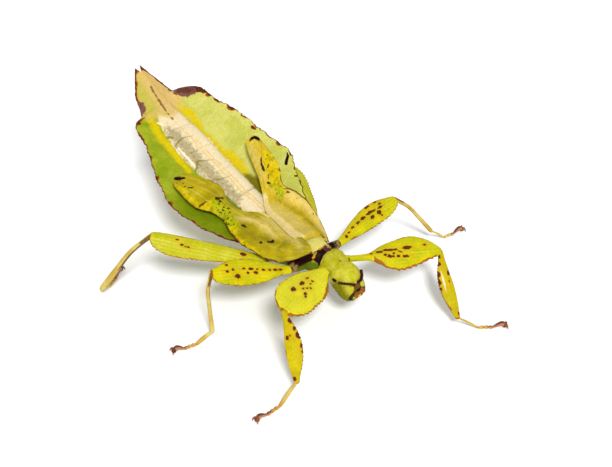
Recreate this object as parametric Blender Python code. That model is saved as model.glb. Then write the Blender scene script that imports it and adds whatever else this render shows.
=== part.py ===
"""Leaf insect, adult female, standing on its six feet: a still, life-size model.

Sizes are in millimetres in the body's frame: the head points along -Y, the insect's left is +X,
+Z is up and the floor is z = 0. ORIGIN is that frame's point under the middle of the whole
model, and the last step moves it to the world's origin and turns millimetres into metres.
"""
import bisect
import math
import random

import bmesh
import bpy
from mathutils import Vector

MM = 0.001
GAP = 0.3
ORIGIN = Vector((4.17, 10.89, 0.0))
SIDES = {"left": 1.0, "right": -1.0}
SEED = 7

# Trunk rings: (place along Y, half width, height of the back, height of the belly)
PROTHORAX = [(-7.0, 2.0, 14.0, 10.3), (-6.3, 2.5, 14.8, 9.7), (-5.0, 2.6, 15.2, 9.3),
             (-4.0, 2.5, 15.0, 9.2), (-3.4, 2.1, 14.4, 9.4)]
MESOTHORAX = [(-3.1, 2.1, 14.2, 9.3), (-2.4, 2.9, 14.3, 8.9), (-0.6, 3.4, 14.4, 8.6),
              (1.2, 3.5, 14.2, 8.5), (2.4, 3.4, 13.7, 8.5)]
METATHORAX = [(2.7, 3.4, 13.3, 8.5), (4.5, 3.7, 12.9, 8.4), (6.5, 3.7, 12.7, 8.5), (8.3, 3.4, 12.6, 8.9)]
TRUNK_SIDES = 16

# Head rings along its axis, which slopes from the neck down to the mouth:
# (place on the axis, half width, height above the axis, depth below it)
NECK = Vector((0.0, -6.8, 12.6))
HEAD_PITCH = 45.0
HEAD = [(0.35, 1.8, 1.7, 1.6), (1.2, 2.6, 2.4, 2.2), (2.6, 3.1, 2.7, 2.5), (4.0, 3.05, 2.5, 2.4),
        (4.9, 2.85, 2.15, 2.3), (5.7, 2.5, 1.6, 2.1), (6.4, 1.7, 1.0, 1.6)]
EYE_RADIUS = 0.6
EYE = (2.0, 2.75, 0.9)
ANTENNA_RADIUS = 0.27
ANTENNA_SEGMENTS = 9
ANTENNA = {"left": [(4.8, 0.45, 1.8), (4.95, 1.0, 2.5), (4.7, 2.0, 2.3), (4.25, 2.95, 1.7), (3.7, 3.5, 1.4)],
           "right": [(4.8, 0.45, 1.8), (4.9, 0.95, 2.55), (4.4, 1.8, 2.75), (3.7, 2.65, 2.4), (3.0, 3.3, 1.8)]}

# Abdomen rows: (place along Y, height of the crest, depth of the core,
# right half width, height of the right edge, left half width, height of the left edge)
ABDOMEN = [(8.65, 12.7, 3.8, 3.4, 11.4, 3.4, 11.7), (10.2, 13.0, 4.2, 6.6, 11.7, 6.8, 12.6),
           (12.5, 13.3, 4.4, 9.2, 12.3, 9.6, 13.6), (16.0, 13.9, 4.4, 11.0, 13.0, 11.6, 15.0),
           (20.0, 14.9, 4.2, 12.6, 13.8, 13.6, 16.5), (23.0, 16.0, 4.0, 13.6, 14.6, 15.2, 17.5),
           (26.5, 17.1, 3.8, 14.3, 16.0, 14.7, 18.7), (30.0, 18.2, 3.5, 13.3, 17.1, 13.7, 20.1),
           (33.5, 19.6, 3.1, 12.4, 18.7, 12.7, 21.5), (38.5, 21.5, 2.6, 10.3, 20.9, 12.0, 23.0),
           (41.0, 22.2, 2.4, 9.3, 21.6, 11.4, 23.8), (44.3, 23.6, 2.1, 8.5, 22.7, 10.7, 24.8),
           (46.8, 25.0, 1.8, 7.3, 23.6, 8.9, 26.0), (47.8, 25.7, 1.7, 5.0, 23.8, 4.0, 25.4),
           (51.4, 28.1, 1.3, 3.4, 26.8, 2.9, 27.6), (54.4, 30.2, 0.7, 0.6, 29.9, 0.6, 30.1)]
ABDOMEN_ROWS = 56
ABDOMEN_SHARES = (0.0, 0.035, 0.1, 0.2, 0.33, 0.5, 0.7, 0.88, 1.0)
CORE_SHARE = 0.3
MIDRIB_HEIGHT = 0.25
MARGIN_HALF_THICKNESS = 0.28
MARGIN_NIBBLE = 0.4
TIP_NOTCH = 0.8

# Forewings: rows from the root to the tip, each with its inner, middle and outer point
TEGMEN_RIGHT = [((-1.2, -0.4, 14.9), (-2.6, -0.9, 14.6), (-4.1, -0.9, 13.4)),
                ((-0.5, 2.2, 15.0), (-3.8, 1.2, 14.9), (-7.4, 0.4, 12.7)),
                ((-0.5, 5.6, 15.0), (-4.4, 4.6, 14.2), (-9.2, 4.2, 12.9)),
                ((-0.5, 9.4, 14.9), (-4.7, 8.6, 14.4), (-10.0, 8.4, 13.4)),
                ((-0.6, 13.4, 15.0), (-4.9, 12.6, 15.1), (-9.7, 12.9, 14.1)),
                ((-1.5, 16.4, 15.4), (-4.9, 16.4, 16.3), (-8.7, 16.8, 15.0)),
                ((-3.2, 19.9, 16.4), (-5.6, 19.2, 17.3), (-8.8, 19.6, 16.2)),
                ((-3.9, 23.2, 17.7), (-6.9, 22.4, 17.8), (-10.6, 22.6, 16.7)),
                ((-6.0, 26.4, 19.2), (-8.7, 25.9, 18.9), (-11.8, 25.7, 18.0)),
                ((-9.3, 29.7, 19.6), (-10.2, 29.5, 19.5), (-11.1, 29.2, 19.4))]
TEGMEN_LEFT = [((1.2, -0.4, 14.9), (2.6, -0.9, 14.6), (4.1, -0.9, 13.4)),
               ((0.4, 2.2, 15.0), (3.0, 1.6, 14.9), (5.2, 2.6, 13.7)),
               ((0.3, 5.6, 14.9), (3.9, 5.0, 14.4), (6.6, 6.0, 14.2)),
               ((0.3, 9.4, 14.8), (4.2, 9.0, 14.6), (7.6, 9.6, 15.1)),
               ((0.7, 13.2, 15.0), (3.9, 12.8, 15.5), (7.5, 12.6, 16.3)),
               ((2.5, 16.4, 16.1), (4.3, 15.8, 16.9), (6.6, 15.4, 17.6)),
               ((3.9, 19.4, 17.9), (5.4, 18.6, 18.6), (7.6, 18.2, 19.4)),
               ((5.2, 22.6, 19.4), (6.4, 22.0, 20.1), (8.0, 21.2, 21.2)),
               ((6.2, 25.6, 20.9), (7.0, 25.0, 21.4), (8.0, 24.2, 22.4)),
               ((7.4, 28.0, 22.2), (8.0, 27.5, 22.6), (8.6, 27.0, 23.1))]
TEGMEN_ROWS = 18
TEGMEN_HALF_THICKNESS = 0.25
TEGMEN_VEINS = (0.22, 0.47, 0.72)
VEIN_HALF_SHARE = 0.03
VEIN_HEIGHT = 0.2

# Legs: the length of each pair's femur and tibia, the hips and the roots of the coxae
FEMUR_LENGTH = {"front": 18.55, "middle": 16.8, "hind": 22.6}
TIBIA_LENGTH = {"front": 13.75, "middle": 13.75, "hind": 18.55}
TARSUS_LENGTH = {"front": 10.1, "middle": 8.6, "hind": 9.8}
HIP = {"front": (3.3, -7.1, 12.5), "middle": (6.6, -0.5, 11.1), "hind": (7.3, 6.3, 10.2)}
COXA_ROOT = {"front": (1.5, -5.2, 11.4), "middle": (2.4, -0.4, 10.9), "hind": (2.6, 5.6, 10.4)}
# The pose of each leg: femur azimuth from +X in degrees, knee height, tibia azimuth,
# ankle height, tarsus azimuth, and the direction that the leg's flat face looks in
POSE = {"front_left": (-27.4, 10.8, -116.6, 2.8, -40.0, (0.0, -0.45, 0.89)),
        "front_right": (-156.8, 16.0, -106.4, 3.3, -176.5, (-0.45, -0.55, 0.70)),
        "middle_left": (4.5, 13.5, -18.0, 3.1, -16.0, (-0.2, -0.45, 0.87)),
        "middle_right": (165.0, 15.8, 161.6, 2.1, 168.4, (-0.35, -0.5, 0.79)),
        "hind_left": (66.5, 12.5, 108.0, 2.4, 95.0, (0.1, -0.1, 0.99)),
        "hind_right": (141.5, 16.8, 124.3, 2.0, 30.0, (-0.35, -0.45, 0.82))}
# Femur blades: (share of the length, fore half width, aft half width, half thickness)
FEMUR = {"front": [(0.0, 0.6, 0.6, 0.6), (0.12, 0.6, 0.65, 0.65), (0.3, 1.9, 2.0, 0.7),
                   (0.5, 3.1, 3.5, 0.65), (0.7, 3.3, 4.1, 0.6), (0.85, 2.7, 3.6, 0.6),
                   (0.95, 1.6, 2.2, 0.6), (1.0, 0.7, 0.7, 0.55)],
         "middle": [(0.0, 0.75, 0.75, 0.7), (0.12, 1.0, 1.0, 0.7), (0.35, 2.2, 2.0, 0.65),
                    (0.6, 2.75, 2.6, 0.6), (0.8, 2.5, 2.3, 0.6), (0.94, 1.5, 1.4, 0.55),
                    (1.0, 0.65, 0.65, 0.55)],
         "hind": [(0.0, 0.75, 0.75, 0.7), (0.12, 1.0, 0.9, 0.7), (0.35, 2.2, 1.1, 0.65),
                  (0.6, 2.9, 1.2, 0.6), (0.82, 3.1, 1.2, 0.6), (0.95, 2.0, 1.0, 0.55),
                  (1.0, 0.65, 0.65, 0.55)]}
FEMUR_ROWS = 14
FEMUR_COLUMNS = 5
BLADE_EDGE = 0.25
# Teeth along the blades' fore edges: (first share, last share, count, height)
FEMUR_TEETH = {"front": (0.36, 0.96, 9, 0.4), "middle": (0.5, 0.96, 7, 0.3), "hind": (0.45, 0.96, 10, 0.4)}
TIBIA_TEETH = {"front": (0.2, 0.86, 6, 0.35), "middle": None, "hind": None}
# Tibiae: (share of the length, fore half width, aft half width, half thickness)
TIBIA = {"front": [(0.0, 0.6, 0.6, 0.5), (0.12, 1.0, 0.6, 0.5), (0.35, 2.05, 0.6, 0.45),
                   (0.55, 2.3, 0.85, 0.45), (0.75, 1.8, 0.8, 0.45), (0.9, 0.9, 0.65, 0.45),
                   (1.0, 0.5, 0.5, 0.45)],
         "middle": [(0.0, 0.5, 0.5, 0.5), (0.2, 0.5, 0.5, 0.5), (0.6, 0.6, 0.6, 0.55),
                    (0.92, 0.65, 0.65, 0.55), (1.0, 0.5, 0.5, 0.45)],
         "hind": [(0.0, 0.5, 0.5, 0.5), (0.2, 0.55, 0.55, 0.5), (0.6, 0.7, 0.7, 0.6),
                  (0.92, 0.7, 0.7, 0.6), (1.0, 0.5, 0.5, 0.45)]}
TIBIA_ROWS = 9
TIBIA_COLUMNS = 4
TIBIA_BOW = {"front": 0.0, "middle": 0.4, "hind": 0.9}
TARSUS_RADIUS = 0.42
TARSUS_RINGS = 18

# Colour, roughness
FINISHES = {"green": ((0.55, 0.60, 0.05), 0.5), "leaf": ((0.45, 0.58, 0.12), 0.5),
            "wing": ((0.62, 0.58, 0.08), 0.45), "ochre": ((0.55, 0.40, 0.06), 0.45),
            "rust": ((0.25, 0.08, 0.04), 0.45), "eye": ((0.12, 0.03, 0.02), 0.25)}


def clear_scene():
    """Remove everything that the scene holds."""
    for obj in list(bpy.data.objects):
        bpy.data.objects.remove(obj)


def make_materials():
    """One Principled material for each finish."""
    materials = {}
    for name, (colour, roughness) in FINISHES.items():
        material = bpy.data.materials.new(name)
        material.use_nodes = True
        shader = material.node_tree.nodes["Principled BSDF"]
        shader.inputs["Base Color"].default_value = (*colour, 1.0)
        shader.inputs["Roughness"].default_value = roughness
        materials[name] = material
    return materials


def heading(azimuth, elevation):
    """Unit vector at an azimuth from +X and an elevation, in degrees."""
    a, e = math.radians(azimuth), math.radians(elevation)
    return Vector((math.cos(a) * math.cos(e), math.sin(a) * math.cos(e), math.sin(e)))


def profile(stations, x):
    """The values at x on a smooth curve through stations, each a place and its values."""
    places = [s[0] for s in stations]
    i = min(max(bisect.bisect_right(places, x) - 1, 0), len(stations) - 2)
    step = places[i + 1] - places[i]
    t = min(max((x - places[i]) / step, 0.0), 1.0)
    h = (2 * t**3 - 3 * t**2 + 1, t**3 - 2 * t**2 + t, 3 * t**2 - 2 * t**3, t**3 - t**2)

    def slope(k, column):
        low, high = max(k - 1, 0), min(k + 1, len(stations) - 1)
        return (stations[high][column] - stations[low][column]) / (places[high] - places[low])

    values = []
    for c in range(1, len(stations[0])):
        ends = stations[i][c] * h[0] + stations[i + 1][c] * h[2]
        values.append(ends + step * (slope(i, c) * h[1] + slope(i + 1, c) * h[3]))
    return values


def curve_point(points, share):
    """The point at a share of the way along a smooth curve through the given points."""
    stations = [(float(i), *p) for i, p in enumerate(points)]
    return Vector(profile(stations, (len(points) - 1) * share))


def curve_points(points, count):
    """Points at equal shares along a smooth curve through the given points."""
    return [curve_point(points, k / (count - 1)) for k in range(count)]


def new_body(name, points, faces, material):
    """An object from points in millimetres, with its faces turned outwards."""
    mesh = bpy.data.meshes.new(name)
    mesh.from_pydata(points, [], faces)
    work = bmesh.new()
    work.from_mesh(mesh)
    bmesh.ops.triangulate(work, faces=[f for f in work.faces if len(f.verts) > 4])
    bmesh.ops.recalc_face_normals(work, faces=work.faces)
    work.to_mesh(mesh)
    work.free()
    mesh.shade_smooth()
    mesh.materials.append(material)
    obj = bpy.data.objects.new(name, mesh)
    bpy.context.scene.collection.objects.link(obj)
    return obj


def ring_faces(rings):
    """Faces of a closed loft through rings of equal count, with a flat cap at each end."""
    count = len(rings[0])
    faces = [tuple(range(count)), tuple(range((len(rings) - 1) * count, len(rings) * count))]
    for k in range(len(rings) - 1):
        for i in range(count):
            j = (i + 1) % count
            faces.append((k * count + i, k * count + j, (k + 1) * count + j, (k + 1) * count + i))
    return faces


def loft(name, rings, material):
    """A closed body through rings of points."""
    return new_body(name, [p for ring in rings for p in ring], ring_faces(rings), material)


def sheet(name, top, bottom, material):
    """Close two like grids of points into a body, split into triangles alike on both faces."""
    rows, columns = len(top), len(top[0])
    points = [p for row in top for p in row] + [p for row in bottom for p in row]
    under = rows * columns
    faces = []
    for i in range(rows - 1):
        for j in range(columns - 1):
            a, b = i * columns + j, i * columns + j + 1
            c, d = b + columns, a + columns
            for face in ((a, b, c), (a, c, d)):
                faces.append(face)
                faces.append(tuple(under + v for v in reversed(face)))
    rim = [j for j in range(columns)]
    rim += [i * columns + columns - 1 for i in range(1, rows)]
    rim += [(rows - 1) * columns + j for j in range(columns - 2, -1, -1)]
    rim += [i * columns for i in range(rows - 2, 0, -1)]
    for a, b in zip(rim, rim[1:] + rim[:1]):
        faces.append((a, under + a, under + b, b))
    return new_body(name, points, faces, material)


def apply_modifiers(obj):
    """Replace an object's mesh by what its modifiers make of it."""
    graph = bpy.context.evaluated_depsgraph_get()
    mesh = bpy.data.meshes.new_from_object(obj.evaluated_get(graph))
    obj.modifiers.clear()
    obj.data = mesh


def keep_largest(obj):
    """Keep only the largest closed surface of an object."""
    work = bmesh.new()
    work.from_mesh(obj.data)
    islands, seen = [], set()
    for start in work.verts:
        if start in seen:
            continue
        island, queue = [], [start]
        seen.add(start)
        while queue:
            vert = queue.pop()
            island.append(vert)
            for edge in vert.link_edges:
                other = edge.other_vert(vert)
                if other not in seen:
                    seen.add(other)
                    queue.append(other)
        islands.append(island)
    islands.sort(key=len)
    for island in islands[:-1]:
        bmesh.ops.delete(work, geom=island, context="VERTS")
    work.to_mesh(obj.data)
    work.free()


def combine(obj, other, operation):
    """Join another body to an object, or cut it away, and remove the other."""
    modifier = obj.modifiers.new("combine", "BOOLEAN")
    modifier.operation = operation
    modifier.object = other
    modifier.solver = "EXACT"
    apply_modifiers(obj)
    bpy.data.objects.remove(other)
    keep_largest(obj)


def grown_copy(parent):
    """A parent's copy, larger by the gap on every side."""
    grown = parent.copy()
    grown.data = parent.data.copy()
    work = bmesh.new()
    work.from_mesh(grown.data)
    work.normal_update()
    moves = [vert.normal * vert.calc_shell_factor() * GAP for vert in work.verts]
    for vert, move in zip(work.verts, moves):
        vert.co += move
    work.to_mesh(grown.data)
    work.free()
    bpy.context.scene.collection.objects.link(grown)
    return grown


def cut_clear(child, parent):
    """Cut a body back to the gap from what carries it, so that the two meet face to face."""
    combine(child, grown_copy(parent), "DIFFERENCE")


def rest_on_floor(obj):
    """Cut off what reaches below the floor, which leaves small flats to stand on."""
    work = bmesh.new()
    work.from_mesh(obj.data)
    everything = list(work.verts) + list(work.edges) + list(work.faces)
    bmesh.ops.bisect_plane(work, geom=everything, plane_co=(0.0, 0.0, 0.0), plane_no=(0.0, 0.0, -1.0),
                           clear_outer=True)
    bmesh.ops.holes_fill(work, edges=[edge for edge in work.edges if edge.is_boundary])
    bmesh.ops.triangulate(work, faces=[face for face in work.faces if len(face.verts) > 4])
    work.to_mesh(obj.data)
    work.free()


def trunk_ring(station):
    """A rounded section of the trunk across the Y axis."""
    y, half_width, back, belly = station
    middle, half_height = (back + belly) / 2, (back - belly) / 2
    ring = []
    for k in range(TRUNK_SIDES):
        angle = math.tau * k / TRUNK_SIDES
        c, s = math.cos(angle), math.sin(angle)
        x = half_width * math.copysign(abs(c) ** 0.8, c)
        z = middle + half_height * math.copysign(abs(s) ** 0.9, s)
        ring.append(Vector((x, y, z)))
    return ring


def make_trunk(materials):
    """Prothorax, mesothorax and metathorax, each a loft with the gap to the next."""
    bodies = {}
    for name, stations in (("prothorax", PROTHORAX), ("mesothorax", MESOTHORAX), ("metathorax", METATHORAX)):
        rings = [trunk_ring(s) for s in stations]
        bodies[name] = loft(name, rings, materials["green"])
    return bodies


def head_point(along, aside, above):
    """A point given by its place on the head's axis, its distance aside and its height above."""
    pitch = math.radians(HEAD_PITCH)
    forward = Vector((0.0, -math.cos(pitch), -math.sin(pitch)))
    upward = Vector((0.0, -math.sin(pitch), math.cos(pitch)))
    return NECK + forward * along + upward * above + Vector((aside, 0.0, 0.0))


def tube_rings(path, radii, sides, start_normal=None, end_normal=None):
    """Rings round a path, the first and last in planes that may be given."""
    rings = []
    for k, centre in enumerate(path):
        tangent = (path[min(k + 1, len(path) - 1)] - path[max(k - 1, 0)]).normalized()
        if k == 0 and start_normal is not None:
            tangent = start_normal
        if k == len(path) - 1 and end_normal is not None:
            tangent = end_normal
        across = tangent.cross(Vector((0.0, 0.0, 1.0)))
        if across.length < 0.05:
            across = tangent.cross(Vector((0.0, 1.0, 0.0)))
        across.normalize()
        normal = across.cross(tangent)
        ring = []
        for i in range(sides):
            angle = math.tau * (i + 0.5) / sides
            ring.append(centre + (across * math.cos(angle) + normal * math.sin(angle)) * radii[k])
        rings.append(ring)
    return rings


def bead_radii(count, segments, radius):
    """Radii that swell inside each segment and narrow at its ends."""
    return [radius * (0.78 + 0.3 * abs(math.sin(math.pi * segments * k / (count - 1)))) for k in range(count)]


def ball(name, centre, radius, material, rings=8, sides=12):
    """A small closed ball."""
    mesh = bpy.data.meshes.new(name)
    work = bmesh.new()
    bmesh.ops.create_uvsphere(work, u_segments=sides, v_segments=rings, radius=radius)
    bmesh.ops.translate(work, verts=work.verts, vec=centre)
    work.to_mesh(mesh)
    work.free()
    mesh.shade_smooth()
    mesh.materials.append(material)
    obj = bpy.data.objects.new(name, mesh)
    bpy.context.scene.collection.objects.link(obj)
    return obj


def make_head(materials, prothorax):
    """Head capsule with its eyes, feelers and mouthparts."""
    rings = []
    for along, half_width, above, below in HEAD:
        ring = []
        for k in range(TRUNK_SIDES):
            angle = math.tau * k / TRUNK_SIDES
            lift = math.sin(angle)
            ring.append(head_point(along, half_width * math.cos(angle), lift * (above if lift > 0 else below)))
        rings.append(ring)
    head = loft("head", rings, materials["green"])
    for side, sign in SIDES.items():
        along, aside, above = EYE
        centre = head_point(along, sign * aside, above)
        socket = ball("socket", centre, EYE_RADIUS + GAP, materials["eye"])
        combine(head, socket, "DIFFERENCE")
        ball("eye_" + side, centre, EYE_RADIUS, materials["eye"])
    cut_clear(head, prothorax)
    for side, sign in SIDES.items():
        path = curve_points([head_point(a, sign * b, c) for a, b, c in ANTENNA[side]],
                            2 * ANTENNA_SEGMENTS + 1)
        radii = bead_radii(len(path), ANTENNA_SEGMENTS, ANTENNA_RADIUS)
        antenna = loft("antenna_" + side, tube_rings(path, radii, 6), materials["rust"])
        cut_clear(antenna, head)
    mouth = make_mouthparts(materials)
    cut_clear(mouth, head)
    return head


def make_mouthparts(materials):
    """Jaws as one block with four palps growing from it."""
    rings = []
    for along, half_width, half_height in ((5.9, 0.9, 1.0), (6.6, 0.95, 1.0), (7.1, 0.7, 0.8), (7.3, 0.35, 0.4)):
        ring = []
        for k in range(10):
            angle = math.tau * k / 10
            ring.append(head_point(along, half_width * math.cos(angle), 0.2 + half_height * math.sin(angle)))
        rings.append(ring)
    mouth = loft("mouthparts", rings, materials["rust"])
    for sign in SIDES.values():
        for root, middle, tip in (((6.4, 0.5, 0.6), (7.2, 1.1, 1.2), (7.7, 1.2, 0.5)),
                                  ((6.5, 0.3, -0.2), (7.3, 0.5, -0.5), (7.3, 0.7, -1.3))):
            path = curve_points([head_point(a, sign * b, c) for a, b, c in (root, middle, tip)], 7)
            palp = loft("palp", tube_rings(path, bead_radii(7, 3, 0.28), 6), materials["rust"])
            combine(mouth, palp, "UNION")
    return mouth


def abdomen_point(y, share, ragged):
    """Top and bottom of the abdomen at a place along it and a share of its width, -1 right to 1 left.

    ragged is how far the margin stands out there.
    """
    crest, depth, right, right_edge, left, left_edge = profile(ABDOMEN, y)
    half_width, edge = (left, left_edge) if share > 0 else (right, right_edge)
    out = abs(share)
    core = max(0.0, 1.0 - (out / CORE_SHARE) ** 2)
    plump = min(depth / 3.0, 1.0)
    roof = crest + (edge - crest) * out ** 1.7
    top = roof + MARGIN_HALF_THICKNESS + 0.35 * (core - 1.0) * plump
    bottom = roof - MARGIN_HALF_THICKNESS - (depth - 1.0) * core ** 0.7 * 0.9
    bottom -= 0.35 * (1.0 - out) * plump
    if share == 0.0:
        top += MIDRIB_HEIGHT * plump
    x = half_width * share
    if out == 1.0:
        x += share * ragged * min(half_width / 6.0, 1.0)
    return Vector((x, y, top)), Vector((x, y, bottom))


def make_abdomen(materials, draw):
    """The leaf-shaped abdomen, a thin leaf with a thicker core, a midrib and a nibbled margin."""
    first, last = ABDOMEN[0][0], ABDOMEN[-1][0]
    shares = [-share for share in reversed(ABDOMEN_SHARES[1:])] + list(ABDOMEN_SHARES)
    top, bottom = [], []
    for i in range(ABDOMEN_ROWS):
        y = first + (last - first) * i / (ABDOMEN_ROWS - 1)
        inner = i in (0, ABDOMEN_ROWS - 1)
        ragged = {side: 0.0 if inner else MARGIN_NIBBLE * draw.uniform(-0.7, 0.4) for side in (-1, 1)}
        row = [abdomen_point(y, share, ragged[1 if share > 0 else -1]) for share in shares]
        if i == ABDOMEN_ROWS - 1:
            for share, pair in zip(shares, row):
                for point in pair:
                    point.y -= TIP_NOTCH * (1.0 - abs(share))
        top.append([p for p, q in row])
        bottom.append([q for p, q in row])
    return sheet("abdomen", top, bottom, materials["leaf"])


def thicken(grid, half_thickness):
    """Top and bottom grids on either side of a grid, along its normals."""
    rows, columns = len(grid), len(grid[0])
    top, bottom = [], []
    for i in range(rows):
        above, below = [], []
        for j in range(columns):
            along = grid[min(i + 1, rows - 1)][j] - grid[max(i - 1, 0)][j]
            across = grid[i][min(j + 1, columns - 1)] - grid[i][max(j - 1, 0)]
            normal = along.cross(across).normalized()
            if normal.z < 0:
                normal.negate()
            above.append(grid[i][j] + normal * half_thickness)
            below.append(grid[i][j] - normal * half_thickness)
        top.append(above)
        bottom.append(below)
    return top, bottom


def vein_columns():
    """Shares across a forewing with a raised column on each vein: (share, whether it is a vein)."""
    columns = [(0.0, False), (1.0, False)]
    for vein in TEGMEN_VEINS:
        columns += [(vein - VEIN_HALF_SHARE, False), (vein, True), (vein + VEIN_HALF_SHARE, False)]
    stops = (0.0, *TEGMEN_VEINS, 1.0)
    columns += [((a + b) / 2, False) for a, b in zip(stops, stops[1:])]
    return sorted(columns)


def make_tegmen(side, rows, materials, mesothorax):
    """A forewing through its control rows, with its main veins raised on it."""
    columns = vein_columns()
    lines = [curve_points([row[k] for row in rows], TEGMEN_ROWS) for k in range(3)]
    grid = [[curve_point([line[i] for line in lines], share) for share, vein in columns]
            for i in range(TEGMEN_ROWS)]
    top, bottom = thicken(grid, TEGMEN_HALF_THICKNESS)
    for i in range(TEGMEN_ROWS):
        height = VEIN_HEIGHT * math.sin(math.pi * i / (TEGMEN_ROWS - 1)) ** 0.5
        for j, (share, vein) in enumerate(columns):
            if vein:
                top[i][j] = top[i][j] + (top[i][j] - bottom[i][j]).normalized() * height
    tegmen = sheet("tegmen_" + side, top, bottom, materials["wing"])
    cut_clear(tegmen, mesothorax)
    return tegmen


def mirrored(point, sign):
    """A point given for the left side, on the side of the sign."""
    return Vector((point[0] * sign, point[1], point[2]))


def leg_joints(leg):
    """Hip, knee, ankle and the tarsus heading of a leg in its pose."""
    pair, side = leg.split("_")
    femur_azimuth, knee_height, tibia_azimuth, ankle_height, tarsus_azimuth, face = POSE[leg]
    hip = mirrored(HIP[pair], SIDES[side])
    rise = math.degrees(math.asin((knee_height - hip.z) / FEMUR_LENGTH[pair]))
    knee = hip + heading(femur_azimuth, rise) * FEMUR_LENGTH[pair]
    fall = math.degrees(math.asin((ankle_height - knee.z) / TIBIA_LENGTH[pair]))
    ankle = knee + heading(tibia_azimuth, fall) * TIBIA_LENGTH[pair]
    return hip, knee, ankle, heading(tarsus_azimuth, 0.0), Vector(face)


def toothed_rows(rows, teeth, draw):
    """Shares of a blade's length, each with how far the fore edge stands out there."""
    stations = [(k / (rows - 1), 0.0) for k in range(rows)]
    if teeth is None:
        return stations
    first, last, count, height = teeth
    step = (last - first) / count
    stations = [station for station in stations if not first - step / 2 < station[0] < last]
    for k in range(count):
        valley = first + k * step
        stations.append((valley, -0.3 * height))
        stations.append((valley + 0.65 * step, height * draw.uniform(0.3, 0.7)))
    return sorted(stations)


def blade(name, path, stations, edge, fore_turn, face, columns, start_normal, end_normal, material):
    """A flattened limb along a path: a lens in section, with blunt edges.

    edge lists the rows and how far the fore edge stands out in each. The fore edge lies along
    tangent x face on the left side of the body, where fore_turn is 1, and the other way on the
    right side, where it is -1.
    """
    top, bottom = [], []
    centres = [curve_point(path, share) for share, out in edge]
    last = len(edge) - 1
    for k, (share, out) in enumerate(edge):
        centre = centres[k]
        fore, aft, half_thickness = profile(stations, share)
        tangent = (centres[min(k + 1, last)] - centres[max(k - 1, 0)]).normalized()
        tangent = start_normal if k == 0 else end_normal if k == last else tangent
        across = tangent.cross(face).normalized() * fore_turn
        normal = across.cross(tangent).normalized()
        above, below = [], []
        for j in range(columns):
            t = 2.0 * j / (columns - 1) - 1.0
            aside = t * (fore if t > 0 else aft)
            if j == columns - 1:
                aside += out
            lift = BLADE_EDGE + (half_thickness - BLADE_EDGE) * (1.0 - t * t)
            above.append(centre + across * aside + normal * lift)
            below.append(centre + across * aside - normal * lift)
        top.append(above)
        bottom.append(below)
    return sheet(name, top, bottom, material)


def joint_normal(before, after):
    """The normal of the plane where two limb pieces meet."""
    return (before.normalized() + after.normalized()).normalized()


def make_tarsus(name, ankle, start_normal, direction, length, material):
    """Five foot segments lying on the floor, with a raised claw segment, a pad and two claws."""
    r = TARSUS_RADIUS
    start = ankle + start_normal * GAP / 2
    level = r * 0.75
    down = ankle + direction * length * 0.40
    down.z = level
    path = [start, start.lerp(down, 0.5) + Vector((0.0, 0.0, 0.12)), down]
    for share in (0.5, 0.6, 0.7):
        path.append(ankle + direction * length * share)
        path[-1].z = level
    crown = ankle + direction * length * 0.84
    crown.z = 1.05
    path.append(crown)
    path.append(crown + direction * 0.8 + Vector((0.0, 0.0, -0.05)))
    centres = curve_points(path, TARSUS_RINGS)
    last = TARSUS_RINGS - 1
    radii = [r * (0.85 + 0.25 * abs(math.sin(math.pi * 4.5 * k / last))) for k in range(TARSUS_RINGS)]
    rings = tube_rings(centres, radii, 8, start_normal)
    foot = loft(name, rings, material)
    aside = direction.cross(Vector((0, 0, 1)))
    tip = crown + direction * 0.6
    pad = ball("pad", tip + direction * 0.3 + Vector((0.0, 0.0, -0.4)), 0.5, material, 6, 8)
    combine(foot, pad, "UNION")
    for sign in SIDES.values():
        claw_path = [tip, tip + aside * sign * 0.45 + direction * 0.6 + Vector((0.0, 0.0, -0.05)),
                     tip + aside * sign * 0.75 + direction * 0.85 + Vector((0.0, 0.0, -0.75))]
        rings = tube_rings(curve_points(claw_path, 5), [0.26, 0.24, 0.2, 0.15, 0.07], 6)
        combine(foot, loft("claw", rings, material), "UNION")
    rest_on_floor(foot)
    return foot


def make_leg(leg, materials, trunk, draw):
    """Coxa, femur, tibia and tarsus of one leg, each with the gap to the next."""
    pair, side = leg.split("_")
    hip, knee, ankle, direction, face = leg_joints(leg)
    root = mirrored(COXA_ROOT[pair], SIDES[side])
    bow = TIBIA_BOW[pair]
    knee_normal = joint_normal(knee - hip, ankle - knee)
    hip_normal = joint_normal(hip - root, knee - hip)
    ankle_normal = joint_normal(ankle - knee, direction)

    coxa_path = curve_points([root, root.lerp(hip, 0.55), hip - hip_normal * GAP / 2], 5)
    coxa = loft("coxa_" + leg, tube_rings(coxa_path, [1.3, 1.25, 1.1, 0.9, 0.72], 8, None, hip_normal),
                materials["rust"])
    for body in trunk.values():
        cut_clear(coxa, body)

    femur_path = [hip + hip_normal * GAP / 2, hip.lerp(knee, 0.5), knee - knee_normal * GAP / 2]
    edge = toothed_rows(FEMUR_ROWS, FEMUR_TEETH[pair], draw)
    blade("femur_" + leg, femur_path, FEMUR[pair], edge, SIDES[side], face, FEMUR_COLUMNS,
          hip_normal, knee_normal, materials["green"])

    outward = (knee - hip).normalized()
    tibia_path = [knee + knee_normal * GAP / 2, knee.lerp(ankle, 0.3) + outward * bow,
                  knee.lerp(ankle, 0.65) + outward * bow * 0.6, ankle - ankle_normal * GAP / 2]
    finish = "green" if pair == "front" else "ochre"
    edge = toothed_rows(TIBIA_ROWS, TIBIA_TEETH[pair], draw)
    blade("tibia_" + leg, tibia_path, TIBIA[pair], edge, SIDES[side], face, TIBIA_COLUMNS,
          knee_normal, ankle_normal, materials[finish])
    make_tarsus("tarsus_" + leg, ankle, ankle_normal, direction, TARSUS_LENGTH[pair], materials["ochre"])


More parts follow.
